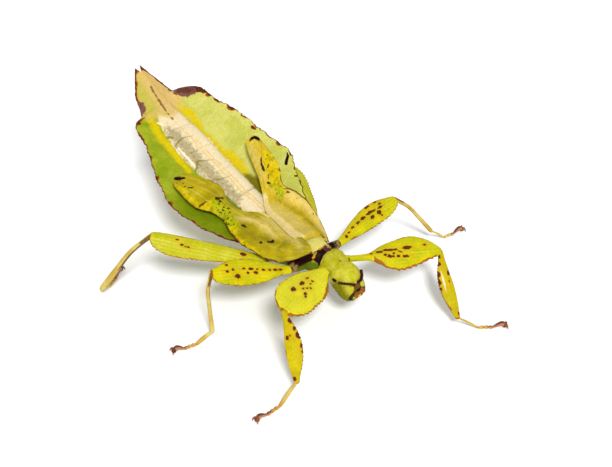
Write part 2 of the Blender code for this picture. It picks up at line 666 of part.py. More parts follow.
def turn_into_metres():
    """Move the middle of the model to the world's origin and scale millimetres to metres."""
    for obj in bpy.data.objects:
        for vert in obj.data.vertices:
            vert.co = (vert.co - ORIGIN) * MM


def build():
    """Build the whole insect."""
    clear_scene()
    draw = random.Random(SEED)
    materials = make_materials()
    trunk = make_trunk(materials)
    make_head(materials, trunk["prothorax"])
    make_abdomen(materials, draw)
    make_tegmen("right", TEGMEN_RIGHT, materials, trunk["mesothorax"])
    make_tegmen("left", TEGMEN_LEFT, materials, trunk["mesothorax"])
    for leg in POSE:
        make_leg(leg, materials, trunk, draw)
    turn_into_metres()


build()
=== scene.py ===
"""Looks of the leaf insect: its skins, wings, limbs, eyes, feelers, mouth and claws.

Sizes are in millimetres in the body's frame, as in the solids: the head points along -Y, the
insect's left is +X, the floor is z = 0, and ORIGIN is that frame's point at the world's origin.
"""
import math

import bpy
import numpy as np
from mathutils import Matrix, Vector


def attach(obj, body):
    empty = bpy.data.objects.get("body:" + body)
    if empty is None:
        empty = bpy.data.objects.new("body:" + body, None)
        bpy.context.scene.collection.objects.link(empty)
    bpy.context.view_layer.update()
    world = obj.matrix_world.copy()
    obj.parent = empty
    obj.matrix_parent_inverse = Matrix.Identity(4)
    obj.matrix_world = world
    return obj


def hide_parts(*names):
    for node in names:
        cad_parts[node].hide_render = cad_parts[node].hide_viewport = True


MM = 0.001
ORIGIN = np.array((4.17, 10.89, 0.0))
SIDES = {"left": 1.0, "right": -1.0}
# The value of a field where a piece doesn't have it
ABSENT = -9.0
# How many random values the smooth random lines and surfaces run through before they repeat
WANDER_POINTS = 997
RIPPLE_POINTS = 211

# The camera: its direction in degrees, its distance from the body frame's origin, how far that
# origin lies off the middle of the picture, and its lens and film width in millimetres
CAMERA_AZIMUTH = -42.125
CAMERA_ELEVATION = 34.988
CAMERA_DISTANCE = 299.0
CAMERA_OFFSET = (1.305, -13.36)
CAMERA_LENS = 88.0
CAMERA_SENSOR = 36.0
# The studio: the key light's direction and breadth in degrees, its strength and the surround's,
# and the floor's half size and drop below the feet in metres
KEY_AZIMUTH = -123.5
KEY_ELEVATION = 44.0
KEY_ANGLE = 11.0
KEY_STRENGTH = 3.1
SURROUND_STRENGTH = 0.606
FLOOR_REACH = 3.0
FLOOR_DROP = 0.00002
FLOOR_WHITE = (0.93, 0.93, 0.93, 1.0)

# Trunk rings: (place along Y, half width, height of the back, height of the belly)
TRUNK = [(-8.1, 1.8, 13.3, 10.6), (-7.5, 2.25, 14.1, 10.2), (-6.7, 2.6, 14.85, 9.7),
    (-5.7, 2.7, 15.15, 9.4), (-5.0, 2.5, 14.85, 9.3), (-4.6, 2.15, 14.1, 9.5), (-4.0, 2.0, 13.8, 9.5),
    (-3.4, 2.3, 14.0, 9.2), (-2.7, 2.85, 14.35, 8.9), (-0.6, 3.6, 14.5, 8.6), (1.2, 4.9, 14.2, 8.5),
    (2.4, 5.4, 13.7, 8.5), (3.0, 5.6, 13.4, 8.6), (4.5, 6.0, 13.1, 8.4), (6.5, 6.5, 12.95, 8.5),
    (8.3, 6.7, 12.9, 8.9), (9.2, 6.3, 12.7, 9.4)]
TRUNK_GRID = (150, 96)
# Brown spots on the trunk: (place along Y, place across, half length, half width)
TRUNK_SPOTS = [(-7.7, 0.1, 0.18, 0.3), (-0.9, -2.0, 0.3, 0.35), (-2.2, 1.9, 0.25, 0.3)]

# Head rings along its axis, which slopes from the neck down to the mouth:
# (place on the axis, half width, height above the axis, depth below it)
NECK = np.array((0.0, -6.8, 12.6))
HEAD_PITCH = 40.0
# How far the head turns to its left, in degrees
HEAD_TURN = 3.0
HEAD = [(-0.2, 1.3, 1.2, 1.1), (0.35, 1.85, 1.75, 1.65), (1.2, 2.65, 2.45, 2.25), (2.6, 3.15, 2.75, 2.5),
    (4.1, 3.15, 2.5, 2.45), (5.2, 3.05, 2.15, 2.4), (6.2, 2.8, 1.75, 2.2), (7.1, 2.2, 1.2, 1.8),
    (7.6, 1.2, 0.65, 1.1)]
HEAD_GRID = (110, 120)
# Eyes, feelers, jaws and palps: places along the head's axis, aside and above
EYE = (2.45, 2.8, 0.6)
EYE_RADII = (0.42, 0.68, 0.42)
BALL_GRID = (24, 36)
ANTENNA_RADIUS = {"left": 0.3, "right": 0.25}
ANTENNA_SEGMENTS = 9
ANTENNA = {
    "left": [(5.1, 0.4, 1.75), (5.1, 0.9, 2.5), (4.7, 1.6, 2.45), (4.1, 2.3, 2.1), (3.4, 2.8, 1.9)],
    "right": [(5.1, 0.4, 1.75), (5.2, 0.95, 2.45), (4.7, 1.8, 2.65), (4.0, 2.65, 2.3), (3.2, 3.3, 1.7)]}
# Jaw rings: (place on the head's axis, half width, half height)
JAWS = [(5.8, 0.8, 0.75), (6.4, 1.0, 1.0), (6.9, 0.9, 0.95), (7.2, 0.65, 0.7), (7.4, 0.25, 0.3)]
JAW_LIFT = 0.5
# Palps: path and radius
PALPS = {"long_palp_": ([(6.3, 0.5, 1.1), (6.8, 0.95, 1.55), (7.2, 1.15, 0.95)], 0.34),
         "short_palp_": ([(6.4, 0.3, 0.7), (7.1, 0.55, 0.9), (7.4, 0.65, 0.3)], 0.32)}

# Abdomen rows: (place along Y, height of the crest, depth of the core,
# right half width, height of the right edge, left half width, height of the left edge)
ABDOMEN = [(8.0, 12.5, 3.6, 6.6, 11.3, 6.8, 12.0), (8.65, 12.7, 3.8, 7.0, 11.5, 7.2, 12.2),
    (10.2, 13.0, 4.2, 8.2, 12.1, 8.2, 12.8), (12.5, 13.3, 4.4, 9.8, 12.7, 9.6, 13.6),
    (16.0, 13.9, 4.4, 11.5, 13.3, 11.6, 15.0), (20.0, 14.9, 4.2, 12.8, 13.9, 13.2, 16.5),
    (23.0, 16.0, 4.0, 13.7, 14.8, 15.2, 17.5), (26.5, 17.1, 3.8, 14.3, 16.1, 14.7, 18.7),
    (30.0, 18.2, 3.5, 13.4, 17.2, 13.7, 20.1), (33.5, 19.6, 3.1, 12.3, 18.4, 12.9, 21.5),
    (38.5, 21.5, 2.6, 10.1, 20.6, 12.0, 23.0), (41.0, 22.2, 2.4, 9.1, 21.4, 11.1, 23.8),
    (44.3, 23.6, 2.1, 8.4, 22.5, 10.3, 24.7), (46.0, 24.5, 1.9, 7.7, 23.2, 10.5, 25.0),
    (46.5, 24.8, 1.8, 7.2, 23.4, 10.4, 25.1), (47.1, 25.2, 1.8, 5.4, 23.8, 10.1, 25.2),
    (47.9, 25.7, 1.7, 4.9, 24.1, 8.9, 25.4), (48.5, 26.1, 1.6, 4.75, 24.7, 6.6, 25.6),
    (48.9, 26.4, 1.5, 4.6, 25.2, 4.7, 25.6), (51.4, 28.2, 1.3, 3.5, 26.8, 3.4, 27.2),
    (54.9, 30.6, 0.7, 0.65, 30.5, 0.65, 30.8)]
ABDOMEN_GRID = (280, 171)
# How far out the soft underside of the body reaches, as a share of the half width
CORE_SHARE = 0.3
OUTLINE_STEPS = 1500
# The notch in the tip: how far it is pulled back and down, over which length
TIP_NOTCH = (1.5, 1.0)
TIP_LENGTH = 2.2
# The raised body along the middle: (place along Y, half width on the left, on the right, height)
RIDGE = [(8.0, 3.0, 3.0, 0.3), (12.0, 3.1, 3.0, 0.8), (20.0, 3.0, 3.0, 1.1), (23.0, 3.0, 3.5, 1.15),
    (27.0, 2.9, 4.1, 1.15), (30.0, 2.9, 4.6, 1.15), (36.0, 2.8, 4.9, 1.05), (40.0, 2.6, 4.3, 0.85),
    (43.0, 2.3, 3.5, 0.6), (47.0, 1.7, 2.0, 0.35), (54.9, 0.3, 0.3, 0.0)]
SEGMENT_ENDS = (14.0, 20.5, 27.0, 33.5, 40.0, 46.6)
# Brown patches along the margins: (place along Y, half length, width)
RUST_LEFT = [(46.6, 0.8, 0.9), (45.2, 0.7, 1.2), (43.9, 0.6, 1.0), (41.6, 1.0, 0.6), (38.4, 0.9, 1.0),
    (35.3, 0.9, 0.5), (31.9, 0.4, 0.4), (29.0, 1.0, 0.3), (26.4, 0.6, 0.8), (23.0, 0.5, 0.6),
    (19.8, 0.4, 0.4)]
RUST_RIGHT = [(52.0, 2.2, 0.4), (46.0, 0.5, 1.1), (43.0, 1.6, 0.4), (37.6, 0.5, 0.5), (33.2, 0.5, 0.75),
    (26.7, 0.6, 0.8), (20.9, 0.5, 0.5), (14.9, 0.5, 0.55)]

# Forewings: rows from the root to the tip, each with its inner, middle and outer point
TEGMEN = {
    "right": [((-1.6, -0.6, 14.9), (-2.1, -1.8, 14.85), (-2.6, -2.8, 14.4)), ((-1.0, 2.2, 14.9),
        (-3.9, 1.0, 14.8), (-7.2, 0.4, 12.7)), ((-0.7, 5.6, 14.85), (-4.4, 4.6, 14.2), (-9.2, 4.2, 12.9)),
        ((-0.2, 9.4, 14.8), (-4.6, 8.6, 14.4), (-10.0, 8.6, 13.4)), ((-1.0, 13.4, 14.9),
        (-5.0, 12.6, 15.1), (-9.7, 13.2, 14.0)), ((-3.9, 16.6, 15.0), (-6.2, 16.5, 16.0),
        (-8.7, 17.0, 14.9)), ((-4.6, 20.0, 16.0), (-6.9, 19.4, 17.1), (-9.7, 19.4, 16.0)),
        ((-4.0, 23.0, 17.6), (-7.2, 22.4, 17.8), (-11.4, 21.8, 16.5)), ((-6.0, 26.4, 19.2),
        (-8.8, 25.9, 18.9), (-11.9, 25.6, 17.8)), ((-8.9, 30.2, 19.7), (-10.5, 29.7, 19.5),
        (-11.9, 29.2, 19.1))],
    "left": [((-1.0, 1.2, 14.4), (1.6, 1.0, 14.22), (2.9, -1.6, 13.7)), ((-2.6, 2.6, 15.0),
        (2.2, 2.6, 14.8), (5.2, 2.2, 13.6)), ((-2.3, 5.6, 15.05), (3.0, 5.3, 14.5), (6.6, 6.0, 14.2)),
        ((-1.5, 9.4, 15.05), (3.6, 9.1, 14.7), (7.6, 9.6, 15.1)), ((-0.6, 13.3, 15.1), (3.4, 12.9, 15.4),
        (7.5, 12.6, 16.3)), ((1.6, 16.6, 16.0), (3.9, 15.9, 16.9), (6.1, 15.6, 17.5)), ((3.4, 19.9, 17.9),
        (5.2, 18.8, 18.6), (7.6, 18.2, 19.4)), ((4.6, 23.1, 19.4), (6.2, 22.2, 20.1), (8.1, 21.2, 21.2)),
        ((5.7, 26.0, 20.9), (6.9, 25.2, 21.4), (8.3, 24.2, 22.4)), ((7.0, 28.5, 22.2), (7.9, 27.8, 22.6),
        (8.9, 27.0, 23.1))]}
TEGMEN_TIP = 1.5
# Half width of the brown line along each forewing's outer margin
TEGMEN_LINE = {"left": 0.15, "right": 0.14}
TEGMEN_GRID = (180, 91)
# Where the long veins run, as shares of the width
TEGMEN_VEINS = (0.22, 0.47, 0.72)

# Legs: the length of each pair's femur, tibia and tarsus, the hips and the roots of the coxae
FEMUR_LENGTH = {"front": 18.55, "middle": 16.8, "hind": 22.6}
TIBIA_LENGTH = {"front": 13.75, "middle": 13.75, "hind": 18.55}
TARSUS_LENGTH = {"front_left": 10.1, "front_right": 11.0, "middle_left": 8.6, "middle_right": 8.9,
                 "hind_left": 9.8, "hind_right": 9.8}
HIP = {"front": (3.3, -7.1, 12.5), "middle": (6.6, -0.5, 11.1), "hind": (7.3, 6.3, 10.2)}
COXA_ROOT = {"front": (1.5, -5.2, 11.4), "middle": (2.4, -0.4, 10.9), "hind": (2.6, 5.6, 10.4)}
# The coxae's radii at shares of their length, and spots on them by place in fifths and height round them
COXA_RADII = ((0.0, 0.25, 0.5, 0.75, 1.0), (1.3, 1.25, 1.1, 0.9, 0.72))
COXA_SPOTS = [(4.4, 0.6, 0.2, 0.3), (4.8, 0.2, 0.2, 0.3), (4.2, 0.0, 0.2, 0.3)]
COXA_GRID = (60, 32)
# The pose of each leg: femur azimuth from +X in degrees, knee height, tibia azimuth,
# ankle height, tarsus azimuth, and the direction that the leg's flat face looks in
POSE = {"front_left": (-27.4, 10.8, -116.6, 2.8, -40.0, (0.0, -0.45, 0.89)),
        "front_right": (-156.8, 16.0, -106.4, 3.3, -176.5, (-0.45, -0.55, 0.70)),
        "middle_left": (4.5, 13.5, -18.0, 3.1, -11.0, (-0.2, -0.45, 0.87)),
        "middle_right": (165.0, 15.8, 161.6, 2.055, 168.4, (-0.35, -0.5, 0.79)),
        "hind_left": (66.5, 12.5, 108.0, 2.4, 95.0, (0.1, -0.1, 0.99)),
        "hind_right": (141.5, 16.8, 124.3, 2.0, 30.0, (-0.35, -0.45, 0.82))}
# Blades, in pairs and for single legs: (share of the length, fore half width, aft half width,
# half thickness)
FEMUR = {
    "front": [(0.0, 0.6, 0.6, 0.6), (0.14, 0.6, 0.6, 0.65), (0.22, 0.7, 0.8, 0.7), (0.3, 1.5, 1.6, 0.7),
        (0.39, 2.7, 2.5, 0.7), (0.52, 3.4, 3.3, 0.65), (0.64, 3.0, 3.9, 0.6), (0.76, 2.2, 3.8, 0.6),
        (0.88, 1.3, 2.8, 0.6), (0.95, 0.9, 1.7, 0.6), (1.0, 0.7, 0.7, 0.55)],
    "front_right": [(0.0, 0.9, 1.0, 0.8), (0.07, 1.3, 1.5, 0.8), (0.2, 2.7, 2.4, 0.7),
        (0.35, 3.5, 3.4, 0.65), (0.55, 3.5, 4.0, 0.65), (0.72, 3.4, 4.2, 0.6), (0.86, 2.7, 3.5, 0.6),
        (0.95, 1.6, 2.2, 0.6), (1.0, 0.7, 0.7, 0.55)],
    "middle": [(0.0, 0.75, 0.75, 0.7), (0.12, 1.0, 1.0, 0.7), (0.35, 2.2, 2.0, 0.65),
        (0.6, 2.75, 2.6, 0.6), (0.8, 2.5, 2.0, 0.6), (0.94, 1.8, 0.95, 0.55), (0.98, 1.2, 0.7, 0.55),
        (1.0, 0.65, 0.65, 0.55)],
    "middle_left": [(0.0, 0.75, 0.75, 0.7), (0.12, 0.9, 1.0, 0.7), (0.35, 1.6, 2.0, 0.65),
        (0.6, 2.0, 2.6, 0.6), (0.8, 2.1, 2.1, 0.6), (0.94, 1.5, 1.1, 0.55), (1.0, 0.65, 0.65, 0.55)],
    "hind": [(0.0, 0.75, 0.75, 0.7), (0.12, 1.0, 0.9, 0.7), (0.35, 2.2, 1.1, 0.65), (0.6, 2.9, 1.2, 0.6),
        (0.82, 3.1, 1.2, 0.6), (0.95, 2.0, 1.0, 0.55), (1.0, 0.65, 0.65, 0.55)]}
TIBIA = {
    "front": [(0.0, 0.5, 0.5, 0.5), (0.12, 0.75, 0.5, 0.5), (0.35, 1.85, 0.75, 0.45),
        (0.52, 2.2, 1.0, 0.45), (0.66, 2.05, 1.0, 0.45), (0.8, 1.5, 0.85, 0.45), (0.92, 0.8, 0.6, 0.45),
        (1.0, 0.5, 0.5, 0.45)],
    "middle": [(0.0, 0.45, 0.45, 0.45), (0.2, 0.38, 0.38, 0.38), (0.6, 0.38, 0.38, 0.38),
        (0.92, 0.45, 0.45, 0.42), (1.0, 0.4, 0.4, 0.4)],
    "hind": [(0.0, 0.45, 0.45, 0.45), (0.2, 0.45, 0.45, 0.45), (0.6, 0.55, 0.55, 0.5),
        (0.92, 0.6, 0.6, 0.5), (1.0, 0.45, 0.45, 0.4)]}
# Rows, columns and ribs per millimetre of each blade
BLADE_GRID = {"femur": (170, 45, 0.75), "tibia": (140, 31, 1.1)}
# Half thickness at a blade's edge
BLADE_EDGE = 0.1
# Teeth along the blades' edges: (first share, last share, how many, height), and how much of
# that height they have along the aft edge
FEMUR_TEETH = {"front": (0.2, 0.97, 12, 0.42), "middle": (0.45, 0.97, 9, 0.32), "hind": (0.4, 0.97, 15, 0.42)}
TIBIA_TEETH = {"front": (0.15, 0.9, 15, 0.24), "middle": (0.1, 0.95, 14, 0.05), "hind": (0.1, 0.95, 22, 0.07)}
AFT_TEETH = 0.15
TIBIA_BOW = {"front": 0.0, "middle": 0.9, "hind": 0.9}
JOINT_OVERLAP = 0.35
# Tarsi: how thick those of each side are at places along them, as a share of the radius, the
# places that lie on the floor, the joints, and the height of the raised end
TARSUS_RADIUS = 0.42
TARSUS_PLACES = (0.0, 0.24, 0.34, 0.7, 0.88, 1.0)
TARSUS_SWELL = {"left": (0.6, 0.5, 0.75, 0.75, 1.05, 1.1), "right": (1.0, 0.85, 0.85, 0.8, 1.05, 1.15)}
TARSUS_FLAT = (0.4, 0.5, 0.6, 0.7)
TARSUS_JOINTS = (0.0, 0.3, 0.45, 0.58, 0.7, 1.0)
CROWN_HEIGHT = 1.05
TARSUS_GRID = (150, 28)
PAD_RADII = (0.5, 0.5, 0.42)
# The claws' radii at shares of their length
CLAW_RADII = ((0.0, 0.5, 1.0), (0.25, 0.2, 0.06))

# Colours as they look on a screen, from 0 to 255
COLOURS = {
    "lobe_light": (216, 214, 106), "lobe_light_2": (200, 202, 84), "lobe_deep": (168, 180, 40),
    "lobe_deep_2": (140, 160, 16), "lobe_shade": (112, 134, 0), "cream": (246, 228, 184),
    # The first colour of the next line is painted shade on the raised body, the second a painted highlight
    "ridge_shade": (156, 142, 92), "highlight_white": (255, 242, 212), "yellow": (226, 200, 4), "tan": (226, 190, 112),
    "tan_2": (190, 184, 66), "midline": (236, 194, 92), "rust": (92, 44, 22),
    "orange_rust": (168, 84, 16), "plum": (122, 72, 70), "maroon": (36, 10, 10), "purple": (98, 54, 56),
    "vein_highlight": (236, 236, 184), "olive": (124, 112, 4), "wing_right": (196, 176, 22),
    "wing_right_2": (166, 148, 4), "wing_left": (230, 200, 60), "wing_left_2": (206, 178, 28),
    "wing_highlight": (242, 214, 124), "wing_cream": (248, 222, 150), "wing_tan": (220, 196, 100),
    "gold": (222, 196, 2), "lime": (186, 192, 0), "black": (24, 10, 8), "femur": (220, 208, 10),
    # The lighter femur colours at the end of this line and the start of the next are painted light
    "femur_2": (194, 192, 10), "femur_green": (206, 202, 50), "femur_lit": (238, 228, 44),
    "femur_lit_2": (222, 216, 36), "shin": (214, 192, 10), "shin_2": (190, 176, 8),
    "amber": (222, 160, 8), "rib": (236, 228, 96), "furrow": (180, 176, 0), "spot": (80, 24, 14),
    "collar": (200, 192, 56), "collar_2": (178, 174, 26), "head": (214, 206, 66),
    # The second colour of the next line is painted shade on the head
    "head_2": (192, 190, 30), "gena_shade": (120, 116, 0), "plate": (238, 224, 118), "ochre": (226, 204, 116),
    "ochre_2": (204, 170, 70), "toe": (184, 128, 104), "palp": (176, 104, 44), "side": (92, 108, 6),
    "coxa": (150, 124, 66), "node": (196, 116, 52), "eye": (56, 26, 14), "claw": (150, 88, 52),
    "nail": (104, 56, 36)}
# How much darker the surfaces are than they look under the studio's light
SHADE = 0.74
# How strongly the waxy cuticle reflects; 0.5 is plain plastic
SHINE = 0.06
# The part of a noise texture's range that clouds and fine grain are drawn from, and how dark and
# how light the fine grain of the cuticle is
CLOUD_RANGE = (0.36, 0.64)
GRAIN_RANGE = (0.3, 0.7)
SPECKLE = (0.88, 1.08)
# What sets the coarse and pitted cuticle of the head and thorax apart
PITTED = {"clouds": 700.0, "grain": 1900.0, "depth": 0.08}
# The light that seeps through the cuticle: its colour, and how deep it goes in millimetres
GLOW_COLOUR = (1.0, 0.8, 0.25)
GLOW_DEPTH = 0.6
# Grains of ragged edges, in bumps per metre
FINE = 2600.0
COARSE = 900.0
# Layers of paint: (field, colour, softness, raggedness, grain of the ragged edge, strength)
ABDOMEN_LAYERS = [
    # The first two layers are painted light: the lobes darkened towards the root as painted shade, and the
    # left lobe lighter than the right
    ("root", "lobe_shade", 3.0, 1.0, 420.0, 0.8), ("lit_left_lobe", "lobe_light_2", 1.0, 0.0, COARSE, 1.0),
    ("left_cloud", "lobe_light", 0.5, 0.8, 420.0, 0.9), ("vein", "vein_highlight", 0.14, 0.2, COARSE, 0.2),
    # The olive layer is a painted shadow beside the left forewing
    ("olive", "olive", 0.6, 0.5, COARSE, 0.95), ("yellow", "yellow", 0.6, 0.9, 700.0, 0.95),
    # The layer after cream is painted shade on the right half of the raised body
    ("cream", "cream", 0.1, 0.2, 1300.0, 1.0), ("ridge_shade", "ridge_shade", 0.8, 1.5, 1500.0, 0.7),
    ("speck", "rust", 0.06, 0.9, FINE, 0.6), ("tail", "tan", 1.2, 1.3, 600.0, 0.95),
    # The wall layer is a painted highlight along the raised body's right wall
    ("tail_green", "tan_2", 1.2, 1.2, 500.0, 0.8), ("wall_highlight", "highlight_white", 0.08, 0.06, FINE, 1.0),
    # The groove layer is painted shade in the grooves
    ("groove", "olive", 0.12, 0.14, FINE, 0.75), ("midline", "midline", 0.2, 0.3, COARSE, 0.6),
    ("dash", "rust", 0.1, 0.16, FINE, 0.75), ("rust", "orange_rust", 0.1, 0.28, COARSE, 1.0),
    ("rust_core", "rust", 0.08, 0.34, 1500.0, 1.0), ("plum", "plum", 0.12, 0.9, 1700.0, 0.95),
    ("plum_core", "rust", 0.1, 1.6, 1700.0, 0.7), ("crack", "black", 0.06, 0.1, FINE, 1.0)]
WING_LAYERS = [
    ("vein", "wing_highlight", 0.1, 0.1, COARSE, 0.25), ("tan", "wing_tan", 0.8, 0.7, 700.0, 0.85),
    # pale and olive are partly the wings' own colours, partly painted light on the folds and painted shade in
    # the hollows
    ("pale", "wing_highlight", 1.0, 0.8, 600.0, 0.85), ("olive", "olive", 0.9, 0.8, 600.0, 0.6),
    ("lime", "lime", 0.5, 0.5, COARSE, 0.9), ("gold", "gold", 0.4, 0.5, COARSE, 0.95),
    ("mottle", "olive", 0.12, 0.9, 1100.0, 0.45), ("fleck", "orange_rust", 0.08, 0.9, 1500.0, 0.9),
    # The fold layer is painted shade in the creases
    ("cream", "wing_cream", 0.15, 0.3, COARSE, 0.95), ("fold", "olive", 0.08, 0.05, COARSE, 0.35),
    ("speck", "black", 0.08, 0.9, 2400.0, 0.9), ("rust", "rust", 0.07, 0.14, 1500.0, 0.9),
    ("spot", "black", 0.09, 0.16, 1800.0, 0.95), ("tip", "black", 0.07, 0.3, 1500.0, 1.0)]
# The blades' finishes: their two colours and how strongly the ribs show, and which femora differ. The front
# right femur's lighter finish is painted light.
BLADE_COLOURS = {
    "femur": (("femur", "femur_2"), 0.2), "hind_femur": (("femur_green", "femur_2"), 0.5),
    "lit_femur": (("femur_lit", "femur_lit_2"), 0.2), "front_tibia": (("shin", "shin_2"), 0.3)}
FEMUR_FINISH = {"front_right": "lit_femur", "hind_right": "hind_femur", "hind_left": "hind_femur"}

# Marks on the abdomen and forewings, each a line of (place along, place aside, half width); a
# line of one place is a dot
ABDOMEN_MARKS = {
    "dash": [[(50.2, -0.1, 0.22), (49.2, -0.3, 0.26)], [(48.6, -0.3, 0.2), (48.1, -0.35, 0.18)],
        [(47.5, -0.4, 0.27), (46.3, -0.4, 0.28)], [(45.8, -0.5, 0.25), (44.8, -0.6, 0.22)],
        [(44.1, -0.6, 0.18), (43.8, -0.7, 0.18)], [(42.8, -0.7, 0.25), (42.4, -0.7, 0.22)]],
    "midline": [[(43.4, -0.85, 0.1), (36.6, -0.85, 0.16), (30.6, -0.85, 0.18), (24.6, -0.8, 0.2),
        (14.3, -0.3, 0.22)], [(35.6, -0.2, 0.1), (30.6, -0.1, 0.16), (24.6, 0.05, 0.2),
        (14.3, 0.5, 0.22)]],
    "yellow": [[(45.6, 2.8, 0.7), (44.1, 2.9, 1.0), (42.2, 3.9, 1.15), (40.7, 3.6, 1.0), (37.2, 2.7, 0.8),
        (35.8, 3.0, 1.1), (33.9, 3.2, 0.9), (31.8, 3.2, 1.0), (29.9, 3.8, 1.4), (27.4, 4.0, 1.25),
        (25.2, 4.2, 0.75)], [(46.1, -4.1, 0.57), (44.3, -4.5, 0.8), (42.2, -4.9, 0.86),
        (39.8, -5.4, 0.86), (37.5, -5.4, 0.75), (35.0, -5.6, 0.69), (32.8, -5.8, 0.57),
        (30.8, -6.0, 0.46)]],
    # Painted shadow: the dark olive patch beside the left forewing's inner edge
    "olive": [[(24.6, 3.7, 0.6), (22.5, 4.0, 1.2), (20.8, 4.2, 1.4), (18.4, 3.9, 0.9)]],
    # Painted highlight along the raised body's right wall
    "wall_highlight": [[(36.2, -4.4, 0.1), (33.5, -4.3, 0.2), (30.5, -4.3, 0.17)], [(43.9, -3.5, 0.2),
        (42.7, -3.2, 0.15)]],
    # Painted shade over the right half of the raised body
    "ridge_shade": [[(41.5, -2.9, 0.5), (39.2, -3.0, 1.0), (36.5, -3.2, 1.3), (33.7, -3.2, 1.3),
        (30.5, -3.2, 1.2), (27.0, -2.9, 1.0), (23.1, -2.6, 0.9), (19.8, -2.2, 0.8)]],
    # Painted shade along the grooves across the raised body
    "groove": [[(36.9, -4.3, 0.2), (37.2, -2.6, 0.14), (36.7, -1.1, 0.1), (36.6, -0.2, 0.07)],
        [(30.3, -4.6, 0.23), (31.2, -3.2, 0.2), (30.4, -2.1, 0.1), (29.7, -0.4, 0.08)],
        [(29.9, -3.5, 0.1), (31.5, -3.6, 0.14)], [(26.2, -3.8, 0.11), (25.3, -2.6, 0.16),
        (24.7, -1.1, 0.1), (24.6, 0.0, 0.07)], [(19.8, -2.0, 0.08), (19.8, -0.1, 0.08),
        (20.2, 2.9, 0.12)], [(39.7, -4.2, 0.23), (38.5, -3.8, 0.23)]],
    "crack": [[(23.8, 14.5, 0.14), (23.0, 14.0, 0.3), (22.5, 13.2, 0.3), (21.7, 12.3, 0.34)],
        [(20.3, 13.8, 0.2), (19.4, 13.2, 0.22)], [(19.0, 13.0, 0.1), (18.0, 12.4, 0.18),
        (18.4, 11.7, 0.16)], [(17.2, 11.7, 0.1), (16.6, 11.7, 0.16), (15.9, 11.5, 0.18),
        (14.9, 11.0, 0.13)], [(14.4, 10.8, 0.28), (14.3, 10.7, 0.28)]],
    "plum": [[(49.4, 4.1, 0.7), (48.3, 4.9, 1.1), (47.7, 5.8, 1.5), (47.3, 6.9, 1.45), (47.1, 7.9, 1.1)],
        [(49.4, -4.1, 0.6), (48.4, -4.3, 1.0)]],
    "rust": [[(47.2, 7.6, 0.9), (46.9, 8.8, 0.95), (46.2, 9.5, 0.8), (45.2, 9.9, 0.5)],
        [(32.2, 12.2, 0.34), (31.7, 12.5, 0.29)], [(46.2, -6.9, 0.4), (45.6, -6.9, 0.35)]]}
